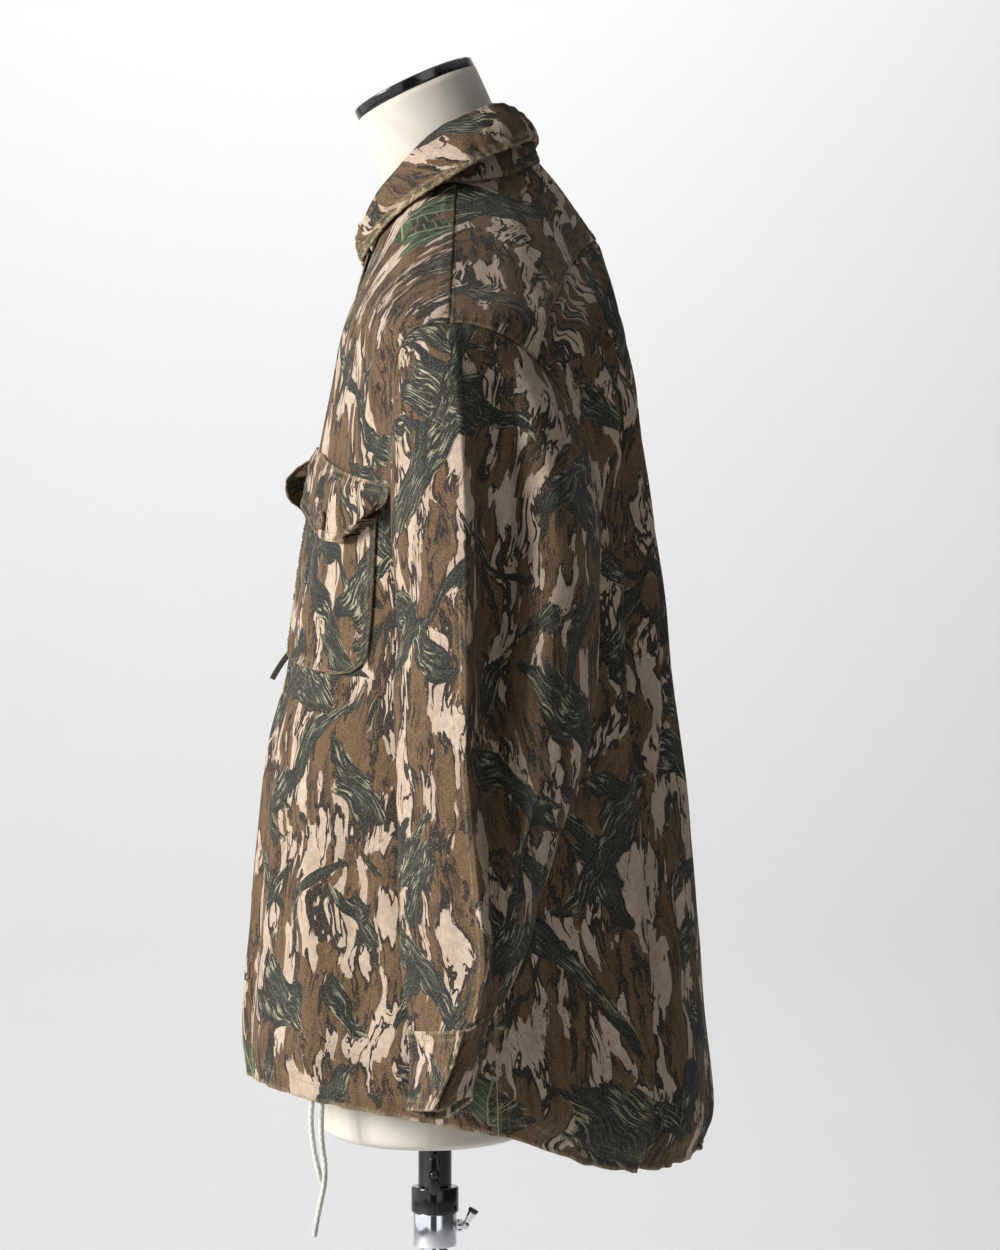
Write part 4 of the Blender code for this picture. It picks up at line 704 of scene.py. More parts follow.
# folds stand or sink by depth; their lines are (turn, height), turn 0 in front, 1 left, 2 behind, 3 right
bodyFolds = [
    fold(0.014, 0.06, 0.018, (0.05, 0.1), (1.44, 1.4), (1.53, 1.32), (1.535, 1.27), (1.467, 1.19),
         (1.43, 1.12), (1.42, 1.0)),
    fold(-0.01, 0.028, 0.045, (0.06, 0.14), (1.52, 1.38), (1.605, 1.3), (1.6, 1.24), (1.545, 1.15),
         (1.5, 1.02), (1.46, 0.86)),
    fold(0.0125, 0.07, 0.016, (0.07, 0.05), (1.6, 1.38), (1.69, 1.31), (1.67, 1.19), (1.59, 1.08),
         (1.51, 1.0), (1.45, 0.88), (1.4, 0.72)),
    fold(-0.0085, 0.02, 0.075, (0.1, 0.05), (1.64, 1.36), (1.745, 1.3), (1.73, 1.18), (1.64, 1.06),
         (1.56, 0.96), (1.47, 0.74)),
    fold(0.0065, 0.06, 0.05, (0.14, 0.2), (1.8, 1.4), (1.83, 1.25), (1.79, 1.05), (1.76, 0.86)),
    fold(-0.005, 0.06, 0.07, (0.16, 0.12), (1.95, 1.41), (1.93, 1.2), (1.96, 0.98), (1.93, 0.74)),
    fold(0.0062, 0.01, 0.008, (0.02, 0.07), (1.505, 1.405), (1.52, 1.36), (1.55, 1.3)),
    fold(0.0072, 0.012, 0.008, (0.02, 0.09), (1.575, 1.415), (1.6, 1.36), (1.62, 1.29)),
    fold(0.006, 0.013, 0.009, (0.02, 0.08), (1.655, 1.425), (1.68, 1.37), (1.7, 1.31)),
    fold(0.0048, 0.014, 0.01, (0.02, 0.06), (1.76, 1.435), (1.77, 1.38), (1.78, 1.33)),
    fold(0.0085, 0.022, 0.07, (0.08, 0.1), (2.36, 1.4), (2.32, 1.3), (2.36, 1.17), (2.46, 1.02), (2.55, 0.8)),
    fold(-0.006, 0.07, 0.028, (0.1, 0.1), (2.29, 1.38), (2.25, 1.26), (2.28, 1.1),
         (2.38, 0.92), (2.45, 0.76)),
    fold(0.01, 0.022, 0.06, (0.06, 0.12), (2.55, 1.39), (2.47, 1.31), (2.48, 1.22),
         (2.56, 1.12), (2.58, 1.02)),
    fold(-0.0055, 0.05, 0.03, (0.1, 0.14), (2.49, 1.37), (2.4, 1.29), (2.42, 1.18), (2.5, 1.04), (2.54, 0.9)),
    fold(0.0055, 0.05, 0.06, (0.14, 0.18), (2.15, 1.42), (2.13, 1.22), (2.18, 1.02), (2.22, 0.8)),
    fold(0.004, 0.009, 0.011, (0.02, 0.08), (2.42, 1.415), (2.4, 1.36), (2.38, 1.3)),
    fold(0.0035, 0.009, 0.012, (0.02, 0.07), (2.3, 1.43), (2.29, 1.37), (2.27, 1.31)),
    fold(0.005, 0.07, 0.05, (0.14, 0.05), (0.46, 1.06), (0.5, 0.93), (0.53, 0.79)),
    fold(-0.005, 0.06, 0.08, (0.16, 0.05), (0.6, 1.09), (0.66, 0.95), (0.69, 0.78)),
    fold(0.004, 0.04, 0.06, (0.1, 0.12), (0.3, 1.1), (0.29, 0.98), (0.32, 0.83)),
    fold(-0.0035, 0.05, 0.04, (0.1, 0.08), (0.17, 1.06), (0.18, 0.92), (0.21, 0.8)),
    fold(0.004, 0.035, 0.045, (0.05, 0.1), (0.62, 1.37), (0.58, 1.32), (0.5, 1.27)),
    fold(-0.003, 0.03, 0.04, (0.05, 0.08), (0.48, 1.4), (0.42, 1.34), (0.36, 1.28)),
    fold(0.005, 0.05, 0.07, (0.14, 0.05), (3.52, 1.07), (3.49, 0.92), (3.45, 0.79)),
    fold(-0.0045, 0.08, 0.06, (0.16, 0.06), (3.38, 1.06), (3.33, 0.92), (3.3, 0.78)),
    fold(0.0035, 0.05, 0.04, (0.12, 0.1), (3.74, 1.1), (3.72, 0.95), (3.7, 0.82)),
    fold(0.004, 0.045, 0.035, (0.05, 0.1), (3.4, 1.37), (3.45, 1.31), (3.52, 1.26)),
]


def bodyRead(name, z):
    # one of the body's measures at height z
    return easeRead(bodySet["z"], bodySet[name], z)


def hemAt(turn):
    # height of the hem, the same on both sides
    place, level = np.array(bodySet["hem"]).T
    return easeRead(place, level, np.abs((np.asarray(turn, float) + 2.0) % 4.0 - 2.0))


def plainBody(turn, z):
    # four quarter ovals: across is a power of the quarter turn's sine, along the same power of its cosine
    signed = (np.asarray(turn, float) + 2.0) % 4.0 - 2.0
    around = np.abs(signed)
    quarter = np.where(around <= 1.0, around, 2.0 - around) * math.pi / 2
    across = np.sin(quarter) ** (2 / bodySet["power"])
    along = np.maximum(np.cos(quarter), 0.0) ** (2 / bodySet["power"])
    ridge = bodyRead("ridgeY", z)
    end = np.where(around <= 1.0, bodyRead("frontY", z), bodyRead("backY", z))
    x = np.sign(signed) * bodyRead("halfWidth", z) * across
    return np.stack(np.broadcast_arrays(x, ridge + (end - ridge) * along, z), axis=-1).astype(float)


def hemLobes(around):
    # round lobes with narrow notches between them: the hyperbolic tangent of an uneven wave
    pitch, seed, steep, lean = bodySet["lobes"]
    return np.tanh(steep * unevenWave(around * bodySet["turnLength"], pitch, seed) + lean)


def bodyRelief(turn, z):
    # folds, a slow unevenness, and the hem drawn in by its cord with short puckers, most of all behind
    b = bodySet
    around = turn % 4.0
    behind = smoothStep((1.0 - np.abs(around - 2.0)) / 0.5 + 0.4)
    above = np.maximum(z - hemAt(turn), 0.0)
    middle = np.abs((turn + 2.0) % 4.0 - 2.0)
    total = foldSum(around, z, bodyFolds)
    ridge = b["ridge"][0] * bell(middle - b["ridge"][1], b["ridge"][2])
    dip = b["dip"][0] * bell(middle, b["dip"][1])
    total = total + (ridge - dip) * smoothStep((1.44 - z) / 0.06)
    chest = smoothStep((0.8 - middle) / 0.3) * smoothStep((z - 1.05) / 0.08) * smoothStep((1.4 - z) / 0.1)
    total = total - b["chestIn"] * chest
    for across, down, seed, height in b["uneven"]:
        total = total + unevenField(around * b["turnLength"], z, across, down, seed=seed) * height
    depth, more, reach = b["drawnIn"]
    total = total - (depth + more * behind) * bell(above, reach)
    depth, more, reach = b["pucker"]
    return total + hemLobes(around) * (depth + more * behind) * np.exp(-above / reach)


def bodySurface(turn, z):
    # the plain body moved along its level normal by its relief; its hem is lowest where its lobes stand out
    turn, z = np.broadcast_arrays(np.asarray(turn, float), np.asarray(z, float))
    depth, more, reach = bodySet["hemWave"]
    near = np.exp(-np.maximum(z - hemAt(turn), 0.0) / reach)
    behind = smoothStep(2.2 - 2 * np.abs(turn % 4.0 - 2.0))
    z = z - (depth + more * behind) * near * hemLobes(turn % 4.0)
    here = plainBody(turn, z)
    tangent = plainBody(turn + 0.004, z) - plainBody(turn - 0.004, z)
    normal = np.stack((tangent[..., 1], -tangent[..., 0]), axis=-1)
    normal = normal / np.maximum(np.linalg.norm(normal, axis=-1, keepdims=True), 1e-9)
    here[..., :2] += normal * bodyRelief(turn, z)[..., None]
    return here


def turnAtY(y, z, back):
    # the quarter oval worked backwards from its along: the arc cosine of a power of the share
    ridge = bodyRead("ridgeY", z)
    end = bodyRead("backY" if back else "frontY", z)
    share = np.clip((y - ridge) / (end - ridge), 0.0, 1.0)
    quarter = np.arccos(share ** (bodySet["power"] / 2)) * 2 / math.pi
    return 2.0 - quarter if back else quarter


def turnAtX(x, z):
    # the same from its across: the arc sine of a power of the share
    share = np.clip(np.abs(x) / bodyRead("halfWidth", z), 0.0, 1.0)
    return np.sign(x) * np.arcsin(share ** (bodySet["power"] / 2)) * 2 / math.pi


def armhole(angle):
    # a squarish oval in the side view: 0 at the shoulder, 90 in front, 180 at the armpit, 270 behind
    angle = np.radians(np.asarray(angle, float) % 360.0)
    up = np.cos(angle)
    front = np.sin(angle) >= 0
    power = np.where(front & (up > 0), 3.5, 2.2)
    top, foot = bodySet["shoulderZ"], bodySet["armpitZ"]
    z = (top + foot) / 2 + (top - foot) / 2 * np.sign(up) * np.abs(up) ** (2 / power)
    reach = np.abs(np.sin(angle)) ** (2 / power)
    ridge = bodyRead("ridgeY", z)
    turn = np.where(front, turnAtY(ridge - bodySet["armFront"] * reach, z, False),
            turnAtY(ridge + bodySet["armBack"] * reach, z, True))
    return turn, z


def neckline(angle):
    # a level oval dropped onto the body: the height is found by halving, 0 at the front and 180 behind
    angle = np.radians(np.asarray(angle, float))
    x = bodySet["neckWidth"] * np.sin(angle)
    y = bodySet["neckY"] - bodySet["neckDepth"] * np.cos(angle)
    low, high = [np.full(angle.shape, level) for level in bodySet["neckBetween"]]
    power = bodySet["power"]
    for _ in range(40):
        z = (low + high) / 2
        ridge = bodyRead("ridgeY", z)
        end = np.where(y < ridge, bodyRead("frontY", z), bodyRead("backY", z))
        across = (np.abs(x) / bodyRead("halfWidth", z)) ** power
        inside = across + (np.abs(y - ridge) / np.abs(end - ridge)) ** power < 1.0
        low = np.where(inside, z, low)
        high = np.where(inside, high, z)
    ridge = bodyRead("ridgeY", z)
    turn = np.where(y < ridge, turnAtY(np.minimum(y, ridge), z, False),
            turnAtY(np.maximum(y, ridge), z, True))
    return turn, z


neckTurns, neckLevels = neckline(np.linspace(0.0, 180.0, 361))
neckSideZ = float(neckline(np.array([90.0]))[1][0])


def neckLevel(turn):
    # height of the neckline
    return np.interp(np.abs(turn), neckTurns, neckLevels)


def sideEdge(back, rows):
    # the left edge of a front or the back at even steps: shoulder, armhole and side seam; with key shares
    seam = 1.0 + bodySet["seamTurn"] * (1 if back else -1)
    angles = np.linspace(360.0 - bodySet["yokeAngle"], 180.0, 260) if back else np.linspace(0.0, 180.0, 320)
    turns, levels = armhole(angles)
    turns = np.where(np.abs(turns - 1.0) < bodySet["seamTurn"], seam, turns)
    lowZ = np.linspace(bodySet["armpitZ"], float(hemAt(1.0)), 120)[1:]
    before = 0
    if not back:
        ridgeZ = np.linspace(neckSideZ, bodySet["shoulderZ"], 80)[:-1]
        before = len(ridgeZ)
        turns = np.concatenate((np.full(before, seam), turns))
        levels = np.concatenate((ridgeZ, levels))
    armpit = len(levels) - 1
    turns = np.concatenate((turns, np.full(lowZ.shape, seam)))
    levels = np.concatenate((levels, lowZ))
    run = runAlong(plainBody(turns, levels))
    at = np.linspace(0.0, run[-1], rows + 1)
    return np.interp(at, run, turns), np.interp(at, run, levels), run[before] / run[-1], run[armpit] / run[-1]


def seamRelief(grid, edges, seed, stand=0.0008, band=0.0095, pucker=0.0004, pitch=0.012, wornBy=1.0):
    # a sewn edge stands up as a flat band, with puckers along it, and is rubbed pale at its two borders
    down = runAlong(grid)
    across = runAlong(grid.transpose(1, 0, 2)).T
    reach = {"top": (down, across), "foot": (down[-1:] - down, across), "start": (across, down),
             "end": (across[:, -1:] - across, down)}
    height = np.zeros(grid.shape[:2])
    worn = np.zeros(grid.shape[:2])
    for k, edge in enumerate(edges):
        away, along = reach[edge]
        wave = unevenWave(along, pitch, seed + k)
        height = np.maximum(height, stand * smoothStep((band - away) / 0.0022))
        height = height + pucker * wave * bell(away - 0.6 * band, 1.2 * band)
        worn = np.maximum(worn, (0.5 + 0.28 * wave) * bell(away, 0.0015) * wornBy)
        worn = np.maximum(worn, (0.14 + 0.2 * wave) * bell(away - band, 0.0016) * wornBy)
    return height, worn


def sewnGrid(grid, edges, **numbers):
    # the grid lifted by its own seams, and where they are rubbed
    height, worn = seamRelief(grid, edges, **numbers)
    return lift(grid, height), worn


stitchRuns = {}


def stitchEdges(group, grid, edges, distances, span=(0.0, 1.0)):
    # lines of stitching at set distances from a grid's edges, kept until the thread is made
    normals = gridNormals(grid)
    for edge in edges:
        g, n = grid, normals
        if edge in ("start", "end"):
            g, n = g.transpose(1, 0, 2), n.transpose(1, 0, 2)
        if edge in ("foot", "end"):
            g, n = g[::-1], n[::-1]
        run = runAlong(g)
        pick = np.arange(g.shape[1])
        part = slice(int(span[0] * (len(pick) - 1)), int(span[1] * (len(pick) - 1)) + 1)
        for distance in distances:
            low = np.clip((run < distance).sum(axis=0) - 1, 0, len(g) - 2)
            share = ((distance - run[low, pick]) / (run[low + 1, pick] - run[low, pick]))[:, None]
            line = g[low, pick] * (1 - share) + g[low + 1, pick] * share
            stitchRuns.setdefault(group, []).append((line[part], n[low, pick][part]))


frontSet = {"rows": 200, "columns": 84, "placketHalf": 0.0175, "underlap": 0.0045, "shares": (0.09, 0.53)}


def frontGrid(left, s):
    # rows run from the centre edge to the shoulder, armhole and side; their heights blend between the edges
    turns, levels, shoulderShare, armpitShare = sideEdge(False, s["rows"])
    share = sharesDown(s["rows"])
    centreX = -s["placketHalf"] if left else s["placketHalf"]
    centreShare = np.interp(share, (0.0, shoulderShare, armpitShare, 1.0), (0.0, *s["shares"], 1.0))
    centreZ = neckLevel(0.0) + (hemAt(0.0) - neckLevel(0.0)) * centreShare
    inner = turnAtX(centreX, centreZ)
    outer = turns[:, None] if left else -turns[:, None]
    turn = inner + (outer - inner) * sharesAcross(s["columns"])
    z = centreZ + (levels[:, None] - centreZ) * np.abs(turn / outer) ** 1.3
    z = np.where(turn * outer < 0, centreZ + 0 * z, z)
    z = z + (neckLevel(turn[:1]) - z[:1]) * np.maximum(1 - share / shoulderShare, 0.0) ** 2
    z = z + (hemAt(turn[-1:]) - z[-1:]) * np.maximum((share - 0.7) / 0.3, 0.0) ** 2
    grid = bodySurface(turn, z)
    if left:
        return grid
    under = 1 - smoothStep((-grid[..., 0] - s["placketHalf"]) / 0.02)
    return liftOutward(grid, -s["underlap"] * under, bodySet["core"])


def frontFlat(grid, at):
    # the cloth hangs straight: its width runs out from the centre and back along the side, its length down
    x, y, z = np.moveaxis(grid, -1, 0)
    across, along, fall = 0.85, 0.75, 1.04
    width = across * x + along * np.sign(x) * (y - bodyRead("frontY", z))
    return np.stack((width + at[0], fall * (z - bodySet["z"][0]) + at[1]), axis=-1)


def makeFront(name, left, node, at, s):
    # a front with its hem and side seams lifted and stitched
    grid = frontGrid(left, s)
    sewn = "end" if np.abs(grid[-1, -1, 0]) > np.abs(grid[-1, 0, 0]) else "start"
    height, worn = seamRelief(grid, ("foot",), seed=20, stand=0.0006, band=0.015, pucker=0.0002, pitch=0.02)
    tidy, rubbed = seamRelief(grid, (sewn,), seed=23, stand=0.0007, band=0.01,
            pucker=0.0006, pitch=0.014, wornBy=0.5)
    grid = lift(grid, height + tidy)
    stitchEdges("frontStitching", grid, ("foot",), (0.0145,))
    sheet = {"flat": (0.345, 0.7), "held": "draped", "rests_on": ["form_torso"], "area": 0.19}
    addCloth(name, grid, np.maximum(worn, rubbed), sheet, (node,), laid=frontFlat(grid, at))


makeFront("frontLeft", True, "front_left", (0.35, 0.0), frontSet)
makeFront("frontRight", False, "front_right", (1.62, 0.31), frontSet)

yokeSet = {
    "rows": 44, "half": 84, "neckShare": 1 / 3, "core": (0.0, 0.03, 1.3), "at": (1.27, 1.75),
    "seam": ((0.0, 1.459), (0.6, 1.43), (0.8, 1.402), (0.92, 1.372), (1.0, 1.3475)),
}


def yokeSeam(share):
    # turn and height of the yoke's seam, from the back's middle to the armhole
    place, level = np.array(yokeSet["seam"]).T
    endTurn, endZ = armhole(np.array([360.0 - bodySet["yokeAngle"]]))
    return 2.0 + (endTurn[0] - 2.0) * share, easeRead(place, level, share) + (endZ[0] - level[-1]) * share


def yokeGrid(s):
    # columns fall from the neck and shoulder ridge to the yoke seam; the outer ones are drawn to the armhole
    signed = np.linspace(-1.0, 1.0, 2 * s["half"] + 1)
    share = np.abs(signed)
    seam = 1.0 + bodySet["seamTurn"]
    onNeck = share < s["neckShare"]
    turnsN, levelsN = neckline(180.0 - 90.0 * np.clip(share / s["neckShare"], 0.0, 1.0))
    ridgeShare = np.clip((share - s["neckShare"]) / (1 - s["neckShare"]), 0.0, 1.0)
    topTurn = np.maximum(np.where(onNeck, turnsN, seam), seam)
    topZ = np.where(onNeck, levelsN, neckSideZ + (bodySet["shoulderZ"] - neckSideZ) * ridgeShare)
    lowTurn, lowZ = yokeSeam(share)
    down = sharesDown(s["rows"])
    turn = topTurn + (lowTurn - topTurn) * down
    z = topZ + (lowZ - topZ) * down
    edgeTurn, edgeZ = armhole(360.0 - down[:, 0] * bodySet["yokeAngle"])
    pull = share[None, :] ** 6
    turn = turn + (np.maximum(edgeTurn, seam)[:, None] - turn[:, :1]) * pull
    z = z + (edgeZ[:, None] - z[:, :1]) * pull
    return bodySurface(np.where(signed[None, :] <= 0, turn, 4.0 - turn), z)


def yokeFlat(grid, at):
    # cut across: its length runs along the shoulders' slope, its width from the yoke seam to the shoulder's
    x, y, z = np.moveaxis(grid, -1, 0)
    slope, back, rise = 0.63, 0.85, 0.6
    width = back * y - rise * (z + slope * np.abs(x))
    return np.stack((width + at[0], at[1] - x * math.hypot(1.0, slope)), axis=-1)


backSet = {"rows": 190, "half": 84, "armpitShare": 0.54}


def backGrid(s):
    # like a front, from the left side round to the right, with its top row on the yoke's seam
    turns, levels, _, armpitShare = sideEdge(True, s["rows"])
    share = sharesDown(s["rows"])
    signed = np.linspace(-1.0, 1.0, 2 * s["half"] + 1)[None, :]
    out = np.abs(signed)
    seamZ = yokeSeam(out)[1] - 0.0002
    hem = hemAt(2.0 - out)
    turn = 2.0 + (turns[:, None] - 2.0) * out
    middle = slice(s["half"], s["half"] + 1)
    centreShare = np.interp(share, (0.0, armpitShare, 1.0), (0.0, s["armpitShare"], 1.0))
    centreZ = seamZ[:, middle] + (hem[:, middle] - seamZ[:, middle]) * centreShare
    z = centreZ + (levels[:, None] - centreZ) * out ** 1.5
    z = z + (seamZ - z[:1]) * np.maximum(1 - share * 3.2, 0.0) ** 2
    z = z + (hem - z[-1:]) * np.maximum((share - 0.6) / 0.4, 0.0) ** 2
    return bodySurface(np.where(signed <= 0, turn, 4.0 - turn), z)


def makeBack():
    # the yoke, then the panel below it, with their seams lifted and stitched
    grid = outwardGrid(yokeGrid(yokeSet), yokeSet["core"])
    grid, worn = sewnGrid(grid, ("foot", "start", "end"), seed=31, stand=0.0011, band=0.009, pucker=0.0005,
            pitch=0.012, wornBy=0.45)
    stitchEdges("backStitching", grid, ("foot",), (0.0016, 0.008))
    stitchEdges("backStitching", grid, ("start", "end"), (0.0018, 0.0082))
    for span in ((0.0, 1 / 3), (2 / 3, 1.0)):
        stitchEdges("backStitching", grid, ("top",), (0.0018,), span)
    sheet = {"flat": (0.56, 0.21), "held": "draped", "rests_on": ["form_torso"], "area": 0.06}
    addCloth("backYoke", grid, worn, sheet, ("back_yoke",), laid=yokeFlat(grid, yokeSet["at"]))
    grid = outwardGrid(backGrid(backSet), bodySet["core"])
    height, worn = seamRelief(grid, ("foot",), seed=37, stand=0.0006, band=0.015, pucker=0.0002, pitch=0.018)
    sides, rubbed = seamRelief(grid, ("start", "end"), seed=39, stand=0.0009, band=0.0095, pucker=0.0006,
            pitch=0.013, wornBy=0.35)
    puckered, _ = seamRelief(grid, ("top",), seed=41, stand=0.0, band=0.0095, pucker=0.0012, pitch=0.013)
    grid = lift(grid, height + sides + puckered)
    stitchEdges("backStitching", grid, ("foot",), (0.0145,))
    stitchEdges("backStitching", grid, ("start", "end"), (0.0018, 0.0082))
    sheet = {"flat": (0.66, 0.73), "held": "draped", "rests_on": ["form_torso"], "area": 0.43}
    addCloth("backPanel", grid, np.maximum(worn, rubbed), sheet, ("back_panel",), at=(3.1, 0.0))


makeBack()
print("body panels made")


# the sleeves: rings of ten key points, from the armhole down to the cuff

sleeveSet = {
    "z": (0.851, 0.875, 0.907, 0.95, 1.01, 1.053, 1.112, 1.166, 1.209, 1.287, 1.369),
    "frontY": (-0.012, -0.0171, -0.02, -0.0222, -0.0237, -0.0244, -0.0251, -0.0251, -0.0273, -0.0258, -0.024),
    "ridgeY": (0.029, 0.039, 0.042, 0.0375, 0.0324, 0.0287, 0.0287, 0.028, 0.028, 0.0251, 0.018),
    "valleyY": (0.038, 0.046, 0.048, 0.0445, 0.043, 0.042, 0.042, 0.0476, 0.052, 0.0527, 0.046),
    "lobeY": (0.0425, 0.051, 0.059, 0.065, 0.075, 0.08, 0.085, 0.09, 0.09, 0.085, 0.08),
    "rearY": (0.046, 0.056, 0.0725, 0.083, 0.103, 0.116, 0.1245, 0.1252, 0.123, 0.1142, 0.105),
    "innerX": (0.2235, 0.222, 0.219, 0.2175, 0.217, 0.2175, 0.2225, 0.228, 0.23, 0.24, 0.25),
    "frontX": (0.262, 0.258, 0.257, 0.256, 0.256, 0.257, 0.258, 0.258, 0.256, 0.256, 0.262),
    "ridgeX": (0.321, 0.321, 0.321, 0.32, 0.319, 0.319, 0.319, 0.318, 0.316, 0.306, 0.288),
    "valleyX": (0.312, 0.31, 0.304, 0.296, 0.286, 0.279, 0.275, 0.274, 0.275, 0.277, 0.281),
    "lobeX": (0.3, 0.298, 0.3, 0.303, 0.302, 0.302, 0.304, 0.304, 0.302, 0.295, 0.283),
    "rearX": (0.262, 0.255, 0.25, 0.252, 0.25, 0.25, 0.248, 0.247, 0.245, 0.248, 0.262),
    "keys": (0.0, 8.0, 80.0, 132.0, 180.0, 228.0, 270.0, 312.0, 340.0, 353.0),
    "rows": 194, "sides": 172, "tuck": 0.0035, "settle": 0.026, "inset": 0.0014, "core": (0.268, 0.05, 1.1),
    # the puffed head: height, rise, reach; ease below it and gathers above the cuff: pitch, height, reach
    "head": (0.0036, 0.0055, 0.05), "ease": (0.016, 0.0008, 0.028), "gather": (0.011, 0.0007, 0.018),
    "cuffKeys": (0.0, 45.0, 90.0, 180.0, 270.0, 330.0), "cuffTop": (0.8575, 0.853, 0.85, 0.854, 0.872, 0.865),
}

# folds in the side view of a sleeve: place is y, level is z
sleeveFolds = [
    fold(-0.009, 0.007, 0.012, (0.03, 0.06), (0.044, 1.345), (0.045, 1.29), (0.044, 1.22),
         (0.043, 1.15), (0.042, 1.09)),
    fold(0.004, 0.009, 0.014, (0.03, 0.06), (0.07, 1.32), (0.069, 1.27), (0.07, 1.2), (0.074, 1.14)),
    fold(0.0045, 0.006, 0.02, (0.03, 0.05), (0.06, 1.345), (0.0545, 1.311), (0.0527, 1.26), (0.0527, 1.205)),
    fold(-0.0035, 0.01, 0.01, (0.03, 0.05), (0.092, 1.33), (0.086, 1.285), (0.088, 1.22), (0.096, 1.16)),
    fold(0.003, 0.012, 0.008, (0.02, 0.05), (0.105, 1.3), (0.101, 1.255), (0.106, 1.19), (0.112, 1.14)),
    fold(0.003, 0.01, 0.014, (0.04, 0.08), (-0.006, 1.31), (-0.002, 1.23), (0.002, 1.15), (0.0, 1.06)),
    fold(-0.0025, 0.012, 0.01, (0.05, 0.08), (0.011, 1.29), (0.013, 1.2), (0.014, 1.1), (0.015, 1.0)),
    fold(-0.004, 0.012, 0.009, (0.03, 0.04), (0.096, 1.085), (0.08, 1.04), (0.064, 0.995), (0.056, 0.955)),
    fold(0.003, 0.009, 0.012, (0.03, 0.03), (0.064, 1.1), (0.056, 1.05), (0.052, 0.99), (0.05, 0.93)),
    fold(0.0025, 0.01, 0.007, (0.03, 0.04), (0.002, 1.0), (0.008, 0.96), (0.012, 0.915), (0.014, 0.88)),
    fold(-0.0022, 0.009, 0.011, (0.03, 0.03), (0.021, 0.99), (0.025, 0.95), (0.027, 0.905), (0.026, 0.87)),
]
stepLine = ((0.1274, 1.1038), (0.1035, 1.0668), (0.0839, 1.0269), (0.073, 0.9972), (0.0665, 0.9776))


def ringRead(keys, values, angle):
    # a closed cubic through values at key angles; values hold the keys along their last axis
    keys = np.asarray(keys, float)
    wide = np.concatenate((keys[-2:] - 360.0, keys, keys[:2] + 360.0))
    laid = np.concatenate((values[..., -2:], values, values[..., :2]), axis=-1)
    slopes = np.gradient(laid, wide, axis=-1)
    angle = np.asarray(angle, float) % 360.0
    low = np.clip(np.searchsorted(wide, angle, side="right") - 1, 0, len(wide) - 2)
    width = wide[low + 1] - wide[low]
    s = (angle - wide[low]) / width

    def pick(a, k):
        spread = np.broadcast_to(a, angle.shape + a.shape[-1:])
        return np.take_along_axis(spread, k[..., None], axis=-1)[..., 0]

    return (pick(laid, low) * (1 + 2 * s) * (1 - s) ** 2 + pick(laid, low + 1) * s * s * (3 - 2 * s)
            + width * pick(slopes, low) * s * (1 - s) ** 2 - width * pick(slopes, low + 1) * s * s * (1 - s))


def sleeveSection(angle, z, s):
    # a closed curve through ten points, some named and some part of the way between them
    c = {name: easeRead(s["z"], s[name], z) for name in s if name[-1] in "XY"}
    middle = (c["frontY"] + c["rearY"]) / 2
    xs = np.stack((c["ridgeX"], c["ridgeX"] - 0.0005, c["frontX"],
            c["innerX"] + 0.3 * (c["frontX"] - c["innerX"]), c["innerX"],
            c["innerX"] + 0.25 * (c["rearX"] - c["innerX"]), c["rearX"], c["lobeX"], c["valleyX"],
            c["ridgeX"] - 0.0075), axis=-1)
    ys = np.stack((c["ridgeY"], c["ridgeY"] - 0.004, c["frontY"], middle + 0.72 * (c["frontY"] - middle),
            middle, middle + 0.72 * (c["rearY"] - middle), c["rearY"], c["lobeY"], c["valleyY"],
            c["ridgeY"] + 0.0035), axis=-1)
    return np.stack((ringRead(s["keys"], xs, angle), ringRead(s["keys"], ys, angle), z), axis=-1)


def cuffTop(angle):
    # height of the seam between sleeve and cuff
    return ringRead(sleeveSet["cuffKeys"], np.array(sleeveSet["cuffTop"]), angle)


def sleeveRelief(grid, angle, seed):
    # the placed folds show on the outer half; a sharp step crosses it behind; small creases go all round
    y, z = grid[..., 1], grid[..., 2]
    outer = smoothStep((grid[..., 0] - 0.258) / 0.024)
    places, levels = np.array(stepLine).T
    away = (y - easeRead(-levels, places, -z)) * 0.9
    held = smoothStep((levels[0] + 0.014 - z) / 0.02) * smoothStep((z - levels[-1] + 0.028) / 0.035)
    step = np.where(away > 0, -0.0095 * smoothStep(away / 0.0045) * np.exp(-away / 0.032),
            0.003 * bell(away, 0.012))
    around = np.radians(angle)
    total = outer * (foldSum(y, z, sleeveFolds) + step * held)
    elbow = bell(z - 1.035, 0.075) + 0.8 * bell(z - 0.895, 0.03)
    slanted = z + 0.35 * (y - 0.05)
    total = total + unevenField(np.sin(around) * 0.07, slanted, 0.11, 0.07, seed=seed) * 0.0012
    slight = unevenField(np.cos(around + 0.6) * 0.07, slanted, 0.075, 0.03, seed=seed + 1) * 0.0009
    return total + slight * (0.3 + elbow)


